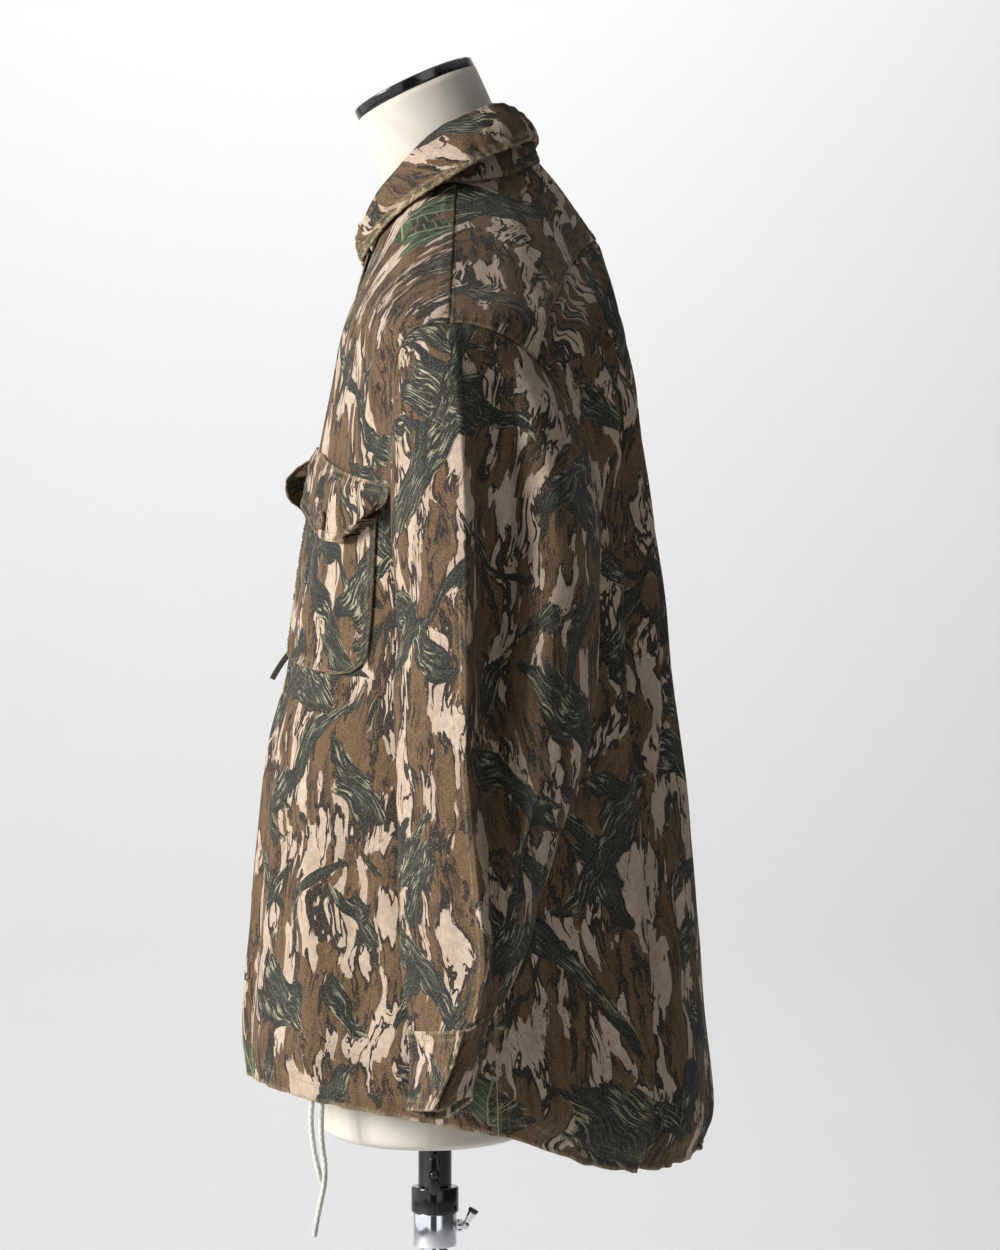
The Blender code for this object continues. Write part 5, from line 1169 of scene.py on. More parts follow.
def sleeveGrid(s, seed):
    # lines swing from the armhole into the sleeve's own sections as the drop grows, and end inside the cuff
    angle = (np.arange(s["sides"]) - s["sides"] / 2) * 360.0 / s["sides"]
    turns, topZ = armhole(angle)
    start = bodySurface(turns, topZ)
    outward = np.stack((np.full(angle.shape, 1.0), (start[:, 1] - bodyRead("ridgeY", topZ)) * 2.0, 0 * angle),
            axis=-1)
    outward = unit(outward)
    start = start - outward * s["inset"]
    footZ = cuffTop(angle) - s["tuck"]
    down = sharesDown(s["rows"]) ** 1.2
    z = topZ + (footZ - topZ) * down
    wide = np.broadcast_to(angle, z.shape)
    grid = sleeveSection(wide, z, s)
    drop = topZ - z
    fade = np.exp(-drop / s["settle"])[..., None]
    grid[..., :2] += ((start - sleeveSection(angle, topZ, s))[None] * fade)[..., :2]
    high, rise, reach = s["head"]
    head = high * (1 - np.exp(-drop / rise)) * bell(drop, reach)
    pitch, high, reach = s["ease"]
    ease = unevenWave(np.radians(angle) * 0.12, pitch, seed) * high
    ease = ease * bell(drop, reach) * smoothStep(drop / 0.004)
    pitch, high, reach = s["gather"]
    gather = unevenWave(np.radians(angle) * 0.09, pitch, seed + 3) * high * bell(z - footZ, reach)
    relief = sleeveRelief(grid, wide, seed) * smoothStep(drop / 0.05) * smoothStep((z - footZ) / 0.03 + 0.2)
    return liftOutward(grid, relief + head + ease + gather, s["core"], True)


cuffSet = {
    "topX": (0.3215, 0.262, 0.2225, 0.263), "topY": (0.03, -0.0122, 0.016, 0.0465),
    "lowX": (0.3185, 0.262, 0.2215, 0.265), "lowY": (0.012, -0.0144, 0.008, 0.031),
    "keys": (0.0, 90.0, 180.0, 270.0),
    "lowKeys": (0.0, 45.0, 90.0, 180.0, 270.0, 330.0), "lowZ": (0.7992, 0.7948, 0.7915, 0.78, 0.801, 0.805),
    "rows": 26, "columns": 260, "start": 32.0, "wrap": 388.0, "core": (0.272, 0.016, 0.83),
}


def cuffGrid(s, seed):
    # a band from one end of the cuff round to the other, the last part lifted over the first
    share = sharesAcross(s["columns"])
    angle = (s["start"] - share * s["wrap"]) + np.zeros((s["rows"] + 1, 1))
    v = sharesDown(s["rows"])
    top = [ringRead(s["keys"], np.array(s[name]), angle) for name in ("topX", "topY")]
    low = [ringRead(s["keys"], np.array(s[name]), angle) for name in ("lowX", "lowY")]
    topZ = cuffTop(angle)
    lowZ = ringRead(s["lowKeys"], np.array(s["lowZ"]), angle)
    z = topZ + (lowZ - topZ) * v
    grid = np.stack((top[0] + (low[0] - top[0]) * v, top[1] + (low[1] - top[1]) * v, z), axis=-1)
    over = 0.0036 * smoothStep((share - 0.86) / 0.1) + 0.0012
    curl = 0.0065 * smoothStep((share - 0.962) / 0.038) * smoothStep((v - 0.3) / 0.7)
    wave = unevenField(share * 0.3, v * 0.055, 0.05, 0.05, seed=seed) * 0.0008
    crease = 0.0014 * bell(v - 0.42 - 0.1 * np.sin(share * 21), 0.05)
    crease = crease * bell(share - 0.8, 0.16)
    return liftOutward(grid, over + curl + wave - crease, s["core"])


def makeSleeve(side, nodes, seed, at):
    # the sleeve, rubbed at its head and along its ridge, and its cuff
    grid = sleeveGrid(sleeveSet, seed)
    if side == "Right":
        grid = mirrored(grid)
    drop = runAlong(grid)
    wave = unevenWave(np.arange(grid.shape[1])[None, :] * 0.0026 + 0 * drop, 0.011, seed)
    worn = (0.16 + 0.22 * wave) * bell(drop, 0.0022)
    ridge = np.abs(grid[..., 0]) > 0.3165
    sheet = {"flat": (0.47, 0.57), "held": "hung", "area": 0.19}
    addCloth("sleeve" + side, grid, worn + 0.16 * ridge * (0.4 + wave), sheet,
             (nodes[0],), closed=True, at=at)
    band = cuffGrid(cuffSet, seed)
    band, worn = sewnGrid(band, ("top", "foot", "end"), seed=seed + 5, stand=0.0006, band=0.0065,
            pucker=0.0003, pitch=0.01)
    lapped = "end"
    if side == "Right":
        band, worn, lapped = mirrored(band), worn[:, ::-1], "start"
    stitchEdges("sleeveStitching", band, ("top",), (0.002, 0.0066))
    stitchEdges("sleeveStitching", band, ("foot",), (0.0066,))
    stitchEdges("sleeveStitching", band, (lapped,), (0.002, 0.0066))
    sheet = {"flat": (0.3, 0.062), "held": "folded", "rests_on": ["sleeve" + side]}
    addCloth("cuff" + side, band, worn, sheet, (nodes[1],), thick=0.002, at=(0.6, 0.55), doubled=True)
    return band


cuffLeft = makeSleeve("Left", ("sleeve_left", "cuff_left"), 50, (0.93, 0.13))
cuffRight = makeSleeve("Right", ("sleeve_right", "cuff_right"), 70, (2.24, 0.13))
print("sleeves made")


# the collar: a stand round the neck and a leaf rolled over it

collarSet = {
    "angle": (4.0, 25.0, 50.0, 75.0, 100.0, 130.0, 155.0, 180.0),
    "fold": ((0.003, -0.056, 1.466), (0.028, -0.05, 1.479), (0.05, -0.031, 1.504), (0.063, -0.004, 1.531),
             (0.0665, 0.0235, 1.548), (0.055, 0.0525, 1.558), (0.03, 0.067, 1.5545), (0.0, 0.071, 1.552)),
    "edge": ((0.036, -0.0565, 1.435), (0.056, -0.0462, 1.451), (0.078, -0.0218, 1.474), (0.096, 0.008, 1.492),
             (0.094, 0.0335, 1.507), (0.071, 0.062, 1.522), (0.037, 0.0745, 1.531), (0.0, 0.0785, 1.5335)),
    "columns": 240, "rows": 30, "roll": 0.0018, "rollSteps": 9, "bow": 0.0036, "standClear": 0.001,
    "standCore": (0.0, 0.017, 1.5), "leafCore": (0.0, 0.017, 1.44),
    # pale worn lines along the leaf's edge: strength, its swing, distance up from the edge and half width
    "rubbed": ((0.8, 0.25, 0.0012, 0.0016), (0.5, 0.35, 0.007, 0.0014)),
}


def collarPoint(kind, angle, s):
    # a curve from the front to the back, mirrored for the right side
    size = np.clip(np.abs(angle), s["angle"][0], 180.0)
    point = easeRead(s["angle"], s[kind], size)
    return point * np.stack((np.where(angle < 0, -1.0, 1.0), np.ones(angle.shape),
            np.ones(angle.shape)), axis=-1)


def neckRound(s):
    # headings from the left front round behind to the right front
    half = np.linspace(s["angle"][0], 180.0, s["columns"] // 2 + 1)
    return np.concatenate((half, -half[-2::-1]))


def makeCollar(s):
    # a wall that rises straight from the neckline to the roll, and the leaf that turns over it
    angle = neckRound(s)
    behind = smoothStep((np.abs(angle) - 70.0) / 50.0)
    along = np.radians(angle) * 0.07
    lumps = unevenWave(along, 0.022, 81) * behind * 0.0009 + unevenWave(along, 0.055, 82) * 0.0007
    foldLine = collarPoint("fold", angle, s) + np.stack((0 * angle, 0 * angle, lumps), axis=-1)
    edge = collarPoint("edge", angle, s)
    outward = foldLine - np.array((0.0, bodySet["neckY"], 0.0))
    outward[:, 2] = 0.0
    outward = unit(outward)
    up = np.array((0.0, 0.0, 1.0))
    turns, levels = neckline(np.abs(angle))
    foot = bodySurface(np.where(angle < 0, 4.0 - turns, turns), levels) + up * s["standClear"]
    top = foldLine - up * 0.003
    share = np.linspace(1.0, 0.0, 12)[:, None, None]
    stand = foot[None] + (top - foot)[None] * share + outward[None] * 0.0016 * np.sin(share * 3.14)
    stand = outwardGrid(stand, s["standCore"])
    height, worn = seamRelief(stand, ("foot",), seed=83, stand=0.0006, band=0.005, pucker=0.0003)
    stitchEdges("collarStitching", stand, ("foot",), (0.0022,))
    sheet = {"flat": (0.42, 0.045), "held": "folded", "rests_on": ["backYoke"]}
    addCloth("collarStand", lift(stand, height), worn, sheet, ("collar_stand",), at=(0.3, 0.95), doubled=True)
    # half a circle of the roll's radius, then a bowed line down to the edge, flared at its foot
    turn = np.linspace(math.pi, 0.0, s["rollSteps"])[:, None, None]
    centre = foldLine + outward * s["roll"] - up * 0.0022
    rolled = centre[None] + s["roll"] * (np.cos(turn) * outward[None] + 1.2 * np.sin(turn) * up)
    lead = rolled[:1] - up * 0.003
    t = np.linspace(0.0, 1.0, s["rows"] - s["rollSteps"])[1:, None, None]
    flare = 0.0008 + 0.001 * unevenWave(np.radians(angle) * 0.08, 0.06, 84)
    edge = edge + outward * flare[:, None]
    sunk = (unevenWave(np.radians(angle) * 0.08, 0.03, 85) * 0.0011 * (0.4 + behind))[None, :, None]
    bowed = s["bow"] * 4 * t * (1 - t) + sunk * np.sin(t * 2.6)
    sloping = rolled[-1:] + (edge - rolled[-1])[None] * t + outward[None] * bowed
    leaf = outwardGrid(np.concatenate((lead, rolled, sloping)), s["leafCore"])
    leaf, worn = sewnGrid(leaf, ("foot", "start", "end"), seed=86, stand=0.001, band=0.0068, pucker=0.0014,
            pitch=0.0085, wornBy=1.5)
    wave = unevenWave(np.arange(leaf.shape[1]) * 0.002, 0.014, 87)[None, :]
    rise = runAlong(leaf)[-1:] - runAlong(leaf)
    for mean, swing, place, half in s["rubbed"]:
        worn = np.maximum(worn, (mean + swing * wave) * bell(rise - place, half))
    stitchEdges("collarStitching", leaf, ("foot",), (0.0018, 0.0072))
    stitchEdges("collarStitching", leaf, ("start", "end"), (0.0018, 0.0072), (0.35, 1.0))
    sheet = {"flat": (0.47, 0.068), "held": "folded", "rests_on": ["collarStand", "backYoke"], "area": 0.03}
    addCloth("collarLeaf", leaf, worn, sheet, ("collar_leaf",), thick=0.0021, at=(0.42, 1.1), doubled=True)


makeCollar(collarSet)


# the button band, pockets, flaps, tab and outlet

placketSet = {"half": 0.0175, "stand": 0.0024, "below": 0.002, "above": 0.001, "rows": 230, "columns": 16,
        "core": (0.0, 0.1, 1.1), }


def makePlacket(s):
    # a band on the body's surface, from just below the neckline to just above the hem
    top, foot = float(neckLevel(0.0)) - s["below"], float(hemAt(0.0)) + s["above"]
    z = np.linspace(top, foot, s["rows"] + 1)[:, None]
    x = np.linspace(-s["half"], s["half"], s["columns"] + 1)[None, :]
    x, z = x + 0 * z, z + 0 * x
    grid = outwardGrid(bodySurface(turnAtX(x, z), z), s["core"])
    height, worn = seamRelief(grid, ("start", "end"), seed=91, stand=0.0005, band=0.006,
            pucker=0.0004, pitch=0.013)
    grid = lift(grid, s["stand"] + height)
    stitchEdges("frontStitching", grid, ("start", "end"), (0.0055,))
    sheet = {"flat": (0.038, 0.7), "held": "laid", "rests_on": ["frontLeft"]}
    addCloth("frontPlacket", grid, worn, sheet, ("front_placket",), thick=0.0014, at=(0.2, 0.02))
    return grid


placket = makePlacket(placketSet)

pocketSet = {
    "corners": ((0.045, 1.276), (0.201, 1.246), (0.181, 1.11), (0.045, 1.12)), "cells": 64, "round": 0.02,
    "size": 0.15, "core": (0.1, 0.1, 1.2), "stand": 0.002, "puff": 0.0036, "uneven": 0.0011, "sag": 0.003,
    "flapTop": ((0.043, 1.288), (0.212, 1.253)), "flapDrop": 0.046, "flapPoint": 0.012,
    "flapRows": 34, "flapColumns": 64,
    "rollFrom": (1.0, -0.002), "rollTo": (0.66, 0.053), "rollRadius": 0.012, "curlRight": 0.021,
    "liftRight": 0.008,
    "flapStand": 0.0017, "flapOver": 0.0035, "flapWave": 0.0012, "flapEnds": 0.002,
}


def pocketGrid(s, seed):
    # a patch between four corners, its two lower corners cut to quarter circles, puffed off the chest
    (x0, z0), (x1, z1), (x2, z2), (x3, z3) = s["corners"]
    u = sharesAcross(s["cells"])
    v = sharesDown(s["cells"])
    x = (x0 + (x1 - x0) * u) * (1 - v) + (x3 + (x2 - x3) * u) * v
    z = (z0 + (z1 - z0) * u) * (1 - v) + (z3 + (z2 - z3) * u) * v
    fromFoot = (1 - v) * (z0 - z3)
    half = (x2 - x3) / 2
    cut = np.maximum(s["round"] - fromFoot, 0.0)
    keep = (half - s["round"] + np.sqrt(s["round"] ** 2 - cut ** 2)) / half
    middle = (x[:, :1] + x[:, -1:]) / 2
    x = middle + (x - middle) * np.where(fromFoot < s["round"], keep, 1.0)
    size = s["size"]
    edge = np.minimum(np.minimum(u, 1 - u) * size, (1 - v) * size)
    puff = s["puff"] * smoothStep(edge / 0.045) * (0.45 + 0.55 * v)
    puff = puff + unevenField(u * size, v * size, 0.055, 0.09,
            seed=seed) * s["uneven"] * smoothStep(edge / 0.02)
    sag = s["sag"] * bell(u - 0.78 + 0.15 * v, 0.07) * smoothStep(v * 3) * smoothStep((1 - v) * 4)
    return liftOutward(bodySurface(turnAtX(x, z), z), s["stand"] + (puff - sag), s["core"])


def flapGrid(s, left, seed):
    # sewn along its top, pointed below; the left one's corner rolls back, the right one stands off inside
    u = sharesAcross(s["flapColumns"])
    v = sharesDown(s["flapRows"])
    (x0, z0), (x1, z1) = s["flapTop"]
    # a corner past a slanted line rolls back round a cylinder: sine of its angle along, one less cosine up
    width = math.hypot(x1 - x0, z1 - z0)
    across = u * width + 0 * v
    down = (s["flapDrop"] + s["flapPoint"] * (1 - np.abs(2 * u - 1))) * v
    (startU, startDown), (endU, endDown) = s["rollFrom"], s["rollTo"]
    heading = np.array(((endU - startU) * width, endDown - startDown))
    heading /= np.linalg.norm(heading)
    sideways = np.array((heading[1], -heading[0]))
    past = (across - startU * width) * sideways[0] + (down - startDown) * sideways[1] if left else 0 * across
    radius = s["rollRadius"]
    angle = np.maximum(past, 0.0) / radius
    back = np.maximum(past, 0.0) - radius * np.sin(angle)
    across = across - sideways[0] * back
    down = down - sideways[1] * back
    x = x0 + (x1 - x0) * across / width
    z = z0 + (z1 - z0) * across / width - down + (0.0 if left else s["liftRight"] * v)
    wave = unevenField(u * 0.16, v * 0.06, 0.06, 0.09, seed=seed) * s["flapWave"] * v
    ends = np.abs(2 * u - 1) ** 3 * s["flapEnds"] * v
    curl = 0.0 if left else s["curlRight"] * smoothStep((0.8 - u) / 0.8) * np.sin(v * 2.1) ** 1.5
    stand = s["flapStand"] + s["flapOver"] * smoothStep(v * 4.2)
    stand = stand + radius * (1 - np.cos(angle)) + curl + wave + ends
    return liftOutward(bodySurface(turnAtX(x, z), z), stand, s["core"])


def makePocket(side, left, seed, at):
    # the patch and its flap, with their edges lifted and stitched
    pocket = pocketGrid(pocketSet, seed)
    flap = flapGrid(pocketSet, left, seed + 2)
    if not left:
        pocket, flap = mirrored(pocket), mirrored(flap)
    edges = ("start", "end", "foot")
    pocket, worn = sewnGrid(pocket, edges, seed=seed + 4, stand=0.0007, band=0.0075,
            pucker=0.0005, pitch=0.011, wornBy=0.6)
    stitchEdges("pocketStitching", pocket, edges, (0.0018, 0.007))
    sheet = {"flat": (0.165, 0.178), "held": "laid", "rests_on": ["front" + side], "area": 0.0245}
    addCloth("pocket" + side, pocket, worn, sheet, ("pocket_" + side.lower(),), thick=0.0012, at=(at, 0.2))
    edges = ("start", "end", "foot", "top")
    flap, worn = sewnGrid(flap, edges, seed=seed + 6, stand=0.0007, band=0.007,
            pucker=0.0006, pitch=0.011, wornBy=0.7)
    stitchEdges("pocketStitching", flap, edges, (0.0018, 0.0068))
    sheet = {"flat": (0.172, 0.072), "held": "laid", "rests_on": ["front" + side,
            "pocket" + side], "area": 0.0108}
    addCloth("pocketFlap" + side, flap, worn, sheet, ("pocket_flap_" + side.lower(),), thick=0.0012,
             at=(at + 0.21, 0.43), doubled=True)
    return flap


flapLeft = makePocket("Left", True, 101, 0.73)
flapRight = makePocket("Right", False, 121, 1.31)


tabSet = {"route": ((0.0225, -0.114, 1.127), (0.0225, -0.1215, 1.119), (0.0225, -0.129, 1.105)),
          "wide": 0.0045, "out": 0.0009, "cupped": 0.0016, }
outletSet = {"turn": 0.52, "halfTurn": 0.04, "z": 0.797, "half": 0.006, "under": 0.0046,
        "core": (0.0, 0.03, 0.8), }


def makeTab(s):
    # a flat strip along a curve between three points, its free end turned down
    start, bend, end = np.array(s["route"])
    share = np.linspace(0.0, 1.0, 25)[:, None]
    line = start * (1 - share) ** 2 + bend * 2 * share * (1 - share) + end * share ** 2
    along = unit(np.gradient(line, axis=0))
    side = np.cross(along, (1.0, 0.0, 0.0))
    across = np.linspace(-0.5, 0.5, 7)[None, :, None]
    grid = line[:, None] + side[:, None] * across * s["wide"]
    grid[..., 0] += s["out"] - s["cupped"] * np.abs(across[..., 0]) ** 2
    grid = grid if gridNormals(grid)[12, 3, 0] > 0 else grid[:, ::-1]
    worn = 0.15 * bell(np.abs(across[..., 0]) - 0.5, 0.14) + 0 * share
    sheet = {"flat": (0.01, 0.03), "held": "folded", "rests_on": ["frontPlacket"], "area": 0.00015}
    tab = addCloth("frontTab", grid, worn, sheet, ("front_tab",), thick=0.0012, at=(0.02, 0.55))
    tab.data.materials[0] = darkTape
    tab.data.materials[1] = darkTape


def makeOutlet(s):
    # a small patch inside the left front's hem, from which the cord's ends come out
    turn = s["turn"] + np.linspace(-s["halfTurn"], s["halfTurn"], 25)[None, :]
    z = s["z"] + np.linspace(s["half"], -s["half"], 13)[:, None]
    grid = outwardGrid(bodySurface(turn, z), s["core"])
    grid = lift(grid, -s["under"])
    height, worn = seamRelief(grid, ("start", "end", "top", "foot"), seed=141, stand=0.0003,
            band=0.0025, pucker=0.0002)
    sheet = {"flat": (0.026, 0.0125), "held": "laid", "rests_on": ["frontLeft"]}
    addCloth("cordOutlet", lift(grid, height), worn, sheet, ("drawstring_outlet",),
             thick=0.0012, at=(0.5, 0.2))


makeTab(tabSet)
makeOutlet(outletSet)
print("collar, band and pockets made")


# thread, worked from the lines kept by the seams

threadSet = {"pitch": 0.0033, "length": 0.0023, "radius": 0.00028, "bow": 0.00018}


def pointsAt(at, run, line):
    # points of a line at given distances along it
    return np.stack([np.interp(at, run, line[:, k]) for k in range(3)], axis=-1)


def makeThread(name, runs, s):
    # each stitch is a short five-sided rod of three rings, thickest and highest at its middle
    starts, heads, ups = [], [], []
    for line, normals in runs:
        run = runAlong(line)
        at = np.arange(s["pitch"], run[-1] - s["pitch"], s["pitch"])
        if len(at) < 2:
            continue
        starts.append(pointsAt(at, run, line))
        heads.append(pointsAt(at + s["length"], run, line))
        up = pointsAt(at, run, normals)
        ups.append(up / np.linalg.norm(up, axis=1, keepdims=True))
    first, last, up = np.concatenate(starts), np.concatenate(heads), np.concatenate(ups)
    along = last - first
    side = np.cross(along, up)
    side /= np.maximum(np.linalg.norm(side, axis=1, keepdims=True), 1e-9)
    share = np.array((0.0, 0.5, 1.0))[None, :, None, None]
    thick = np.array((0.45, 1.0, 0.45))[None, :, None, None] * s["radius"]
    rise = np.array((-0.2, 1.0, -0.2))[None, :, None, None] * s["bow"]
    ring = np.radians(np.arange(5) * 72.0)[None, None, :, None]
    points = (first[:, None, None] + along[:, None, None] * share
              + up[:, None, None] * (rise + thick * np.sin(ring))
              + side[:, None, None] * thick * np.cos(ring))
    count = len(first)
    index = np.arange(count * 15).reshape(count, 3, 5)
    wide = np.concatenate((index, index[..., :1]), axis=-1)
    faces = quadRows(wide).reshape(-1, 4)[:, ::-1].tolist()
    faces += index[:, 0, :].tolist()
    faces += index[:, 2, ::-1].tolist()
    addPiece(name, newMesh(name, points, faces), (tanThread,), ())
    print(f"{name}: {count} stitches")


for group, runs in sorted(stitchRuns.items()):
    makeThread(group, runs, threadSet)


# solids of one or more closed grids in one mesh

def ringsMesh(name, parts):
    # each part is (rings, number of its look); rings that end where they began are joined, others capped
    points, faces, looks, base = [], [], [], 0
    for grid, look in parts:
        looped = np.allclose(grid[0], grid[-1])
        keep = grid[:-1] if looped else grid
        index = base + np.arange(keep.shape[0] * keep.shape[1]).reshape(keep.shape[:2])
        wide = np.concatenate((index, index[:, :1]), axis=1)
        wide = np.concatenate((wide, wide[:1]), axis=0) if looped else wide
        made = quadRows(wide).reshape(-1, 4).tolist()
        if not looped:
            made += [index[0].tolist(), index[-1, ::-1].tolist()]
        points.append(keep.reshape(-1, 3))
        faces += made
        looks += [look] * len(made)
        base += keep.shape[0] * keep.shape[1]
    mesh = newMesh(name, np.concatenate(points), faces)
    mesh.polygons.foreach_set("material_index", looks)
    return mesh


def addSolid(name, node, parts, looks, body="form"):
    # a piece of closed parts that stands for one node
    addPiece(name, ringsMesh(name, parts), looks, (node,), body)


def discProfile(radius, top, low, bevel, steps=4):
    # a disc or rod from its top to its foot, with rounded rims
    return roundedProfile(((0.0, top), (radius, top), (radius, low), (0.0, low)), bevel, steps)


def rod(start, end, radius, sides=10, rings=9):
    # a capsule: its radius follows a quarter circle at each end
    start, end = np.array(start, float), np.array(end, float)
    length = np.linalg.norm(end - start)
    cap = np.sin(np.linspace(0.08, math.pi / 2, rings))
    height = 1 - np.cos(np.linspace(0.0, math.pi / 2, rings))
    profile = np.concatenate((np.stack((cap * radius, length - height * radius), axis=-1),
            np.stack((cap * radius, height * radius), axis=-1)[::-1]))
    return lathe(profile, sides, end - start, start)


buttonSet = {
    "radius": 0.0075, "height": 0.0028, "sides": 40, "holeAt": 0.0015, "holeShade": 0.00075,
    # the profile in shares of the radius and the height, from the dished middle over the rim to the back
    "profile": ((0.0, 0.62), (0.6, 0.66), (0.78, 1.0), (0.94, 0.96), (1.0, 0.52), (0.86, 0.0), (0.0, 0.0)),
    "threadAt": 0.00105, "threadApart": 0.00022, "threadRadius": 0.00024, "threadRise": (0.00028, 0.0005),
    "frontLevels": (1.395, 1.302, 1.209, 1.116, 1.023, 0.93),
}


def makeButton(name, node, point, normal, clear, turn):
    # a dished disc with a raised rim, four holes shown as black discs of painted shade, and a crossed thread
    r, h = buttonSet["radius"], buttonSet["height"]
    normal = np.array(normal) / np.linalg.norm(normal)
    profile = roundedProfile([(r * wide, h * high) for wide, high in buttonSet["profile"]], 0.0006)
    origin = np.array(point) + normal * clear
    parts = [(lathe(profile, buttonSet["sides"], normal, origin), 0)]
    level = np.array(Vector(normal).to_track_quat("Z", "Y").to_matrix())
    spin = math.radians(turn)
    axes = [level @ np.array((math.cos(spin + k), math.sin(spin + k), 0.0)) for k in (0.0, math.pi / 2)]
    corners = [axes[0] * a + axes[1] * b for a, b in ((1, 1), (-1, 1), (-1, -1), (1, -1))]
    face = origin + normal * h * 0.63
    # painted shade: each of the four holes is a small black disc just proud of the face, standing for the
    # dark inside it
    for corner in corners:
        holeShade = ((0.0, 0.00012), (buttonSet["holeShade"], 0.0001), (buttonSet["holeShade"], -0.0004), (0.0, -0.0004))
        parts.append((lathe(holeShade, 12, normal, face + corner * buttonSet["holeAt"] * 0.75), 2))
    for a, b in ((0, 2), (1, 3)):
        for offset in (-buttonSet["threadApart"], buttonSet["threadApart"]):
            shift = np.cross(normal, corners[a] - corners[b])
            shift = shift / np.linalg.norm(shift) * offset
            rise = normal * buttonSet["threadRise"][a]
            ends = [face + corners[k] * buttonSet["threadAt"] + shift + rise for k in (a, b)]
            parts.append((rod(*ends, buttonSet["threadRadius"], 6, 4), 1))
    addSolid(name, node, parts, (hornButton, tanThread, blackGloss))


def gridPlace(grid, v, u):
    # the point and normal at shares of the way down and across
    row, col = int(v * (grid.shape[0] - 1)), int(u * (grid.shape[1] - 1))
    return grid[row, col], gridNormals(grid)[row, col]


def rearMost(cuff):
    # share of the way across to the point of the middle row that lies farthest back
    return float(np.argmax(cuff[cuff.shape[0] // 2, :, 1])) / (cuff.shape[1] - 1)


for number, level in enumerate(buttonSet["frontLevels"], start=1):
    down = float(np.interp(-level, -placket[:, 8, 2], np.linspace(0, 1, len(placket))))
    makeButton(f"buttonFront{number}", f"button_front_{number}", *gridPlace(placket, down, 0.5),
               clear=0.0006, turn=17.0 * number)
for piece, node, place, clear, turn in (
        ("buttonPocketLeft", "button_pocket_left", (flapLeft, 0.74, 0.5), 0.001, 20.0),
        ("buttonPocketRight", "button_pocket_right", (flapRight, 0.74, 0.4), 0.001, 65.0),
        ("buttonCuffLeft", "button_cuff_left", (cuffLeft, 0.5, rearMost(cuffLeft)), 0.0008, 40.0),
        ("buttonCuffRight", "button_cuff_right", (cuffRight, 0.5, rearMost(cuffRight)), 0.0008, 10.0)):
    makeButton(piece, node, *gridPlace(*place), clear, turn)
print("buttons made")


# the form and its stand

formSet = {
    "frontY": (-0.08, -0.088, -0.0925, -0.0935, -0.09, -0.085, -0.085, -0.08, -0.069, -0.059, -0.053, -0.046,
               -0.0425, -0.037, -0.033, -0.0345, -0.04, -0.051, -0.0608),
    "frontZ": (0.747, 0.7495, 0.7585, 0.8, 0.9, 1.0, 1.1, 1.2, 1.28, 1.34, 1.378, 1.41, 1.435, 1.453, 1.469,
               1.483, 1.5, 1.526, 1.5504),
    "backY": (0.07, 0.078, 0.083, 0.088, 0.09, 0.09, 0.105, 0.12, 0.127, 0.129, 0.127, 0.122, 0.114, 0.104,
              0.089, 0.073, 0.059, 0.044, 0.0328),
    "backZ": (0.747, 0.7495, 0.7585, 0.8, 0.9, 1.0, 1.1, 1.2, 1.28, 1.34, 1.378, 1.412, 1.438, 1.46, 1.483,
              1.506, 1.535, 1.569, 1.5936),
    "half": (0.15, 0.16, 0.165, 0.168, 0.158, 0.146, 0.152, 0.166, 0.18, 0.19, 0.192, 0.181, 0.149, 0.115,
             0.08, 0.06, 0.0545, 0.0515, 0.0505),
    "power": 2.15, "sides": 144, "rings": 170, "bore": 0.0139, "boreTop": 1.065,
    "seams": (0.0, 92.0, 180.0, 268.0),
    "seamMark": 0.32, "seamHalf": 0.9,
}


def makeForm(s):
    # squarish ovals between front and back points; below them the underside runs in to the bore for the pipe
    angle = np.arange(s["sides"]) * 2 * math.pi / s["sides"]
    across = np.sign(np.sin(angle)) * np.abs(np.sin(angle)) ** (2 / s["power"])
    along = np.sign(np.cos(angle)) * np.abs(np.cos(angle)) ** (2 / s["power"])
    keys = np.linspace(0.0, 1.0, len(s["half"]))
    middleZ = (np.array(s["frontZ"]) + np.array(s["backZ"])) / 2
    spread = np.interp(np.linspace(0.0, 1.0, s["rings"]),
            (middleZ - middleZ[0]) / (middleZ[-1] - middleZ[0]), keys)
    spread = np.sort(np.concatenate((spread, np.linspace(0.0, keys[3], 14)[1:])))
    c = {name: easeRead(keys, s[name], spread)[:, None] for name in ("frontY", "frontZ",
            "backY", "backZ", "half")}
    y = (c["frontY"] + c["backY"]) / 2 + (c["frontY"] - c["backY"]) / 2 * along
    z = (c["frontZ"] + c["backZ"]) / 2 + (c["frontZ"] - c["backZ"]) / 2 * along
    rings = np.stack((c["half"] * across, y, z), axis=-1)
    bore = np.stack((s["bore"] * np.sin(angle), -s["bore"] * np.cos(angle),
            0 * angle + rings[0, 0, 2]), axis=-1)
    under = bore + (rings[0] - bore) * np.linspace(0.0, 1.0, 9)[:-1, None, None]
    inside = np.stack([bore * (k, k, 1) + np.array((0.0, 0.0, s["boreTop"] - rings[0, 0, 2]))
            for k in (0.003, 1.0)])
    middle = rings[-1].mean(axis=0)
    top = middle + (rings[-1] - middle) * np.array((0.98, 0.6, 0.2, 0.002))[:, None, None]
    grid = np.concatenate((inside, under, rings, top))[::-1]
    grid = grid if np.sum(gridNormals(grid, True)[80, 0] * (0.0, -1.0, 0.0)) > 0 else grid[:, ::-1]
    mesh = gridMesh("formTorso", grid, flatten(grid, True), formSeams(grid, s), True, True)
    addPiece("formTorso", mesh, (creamCover,), ("form_torso",))


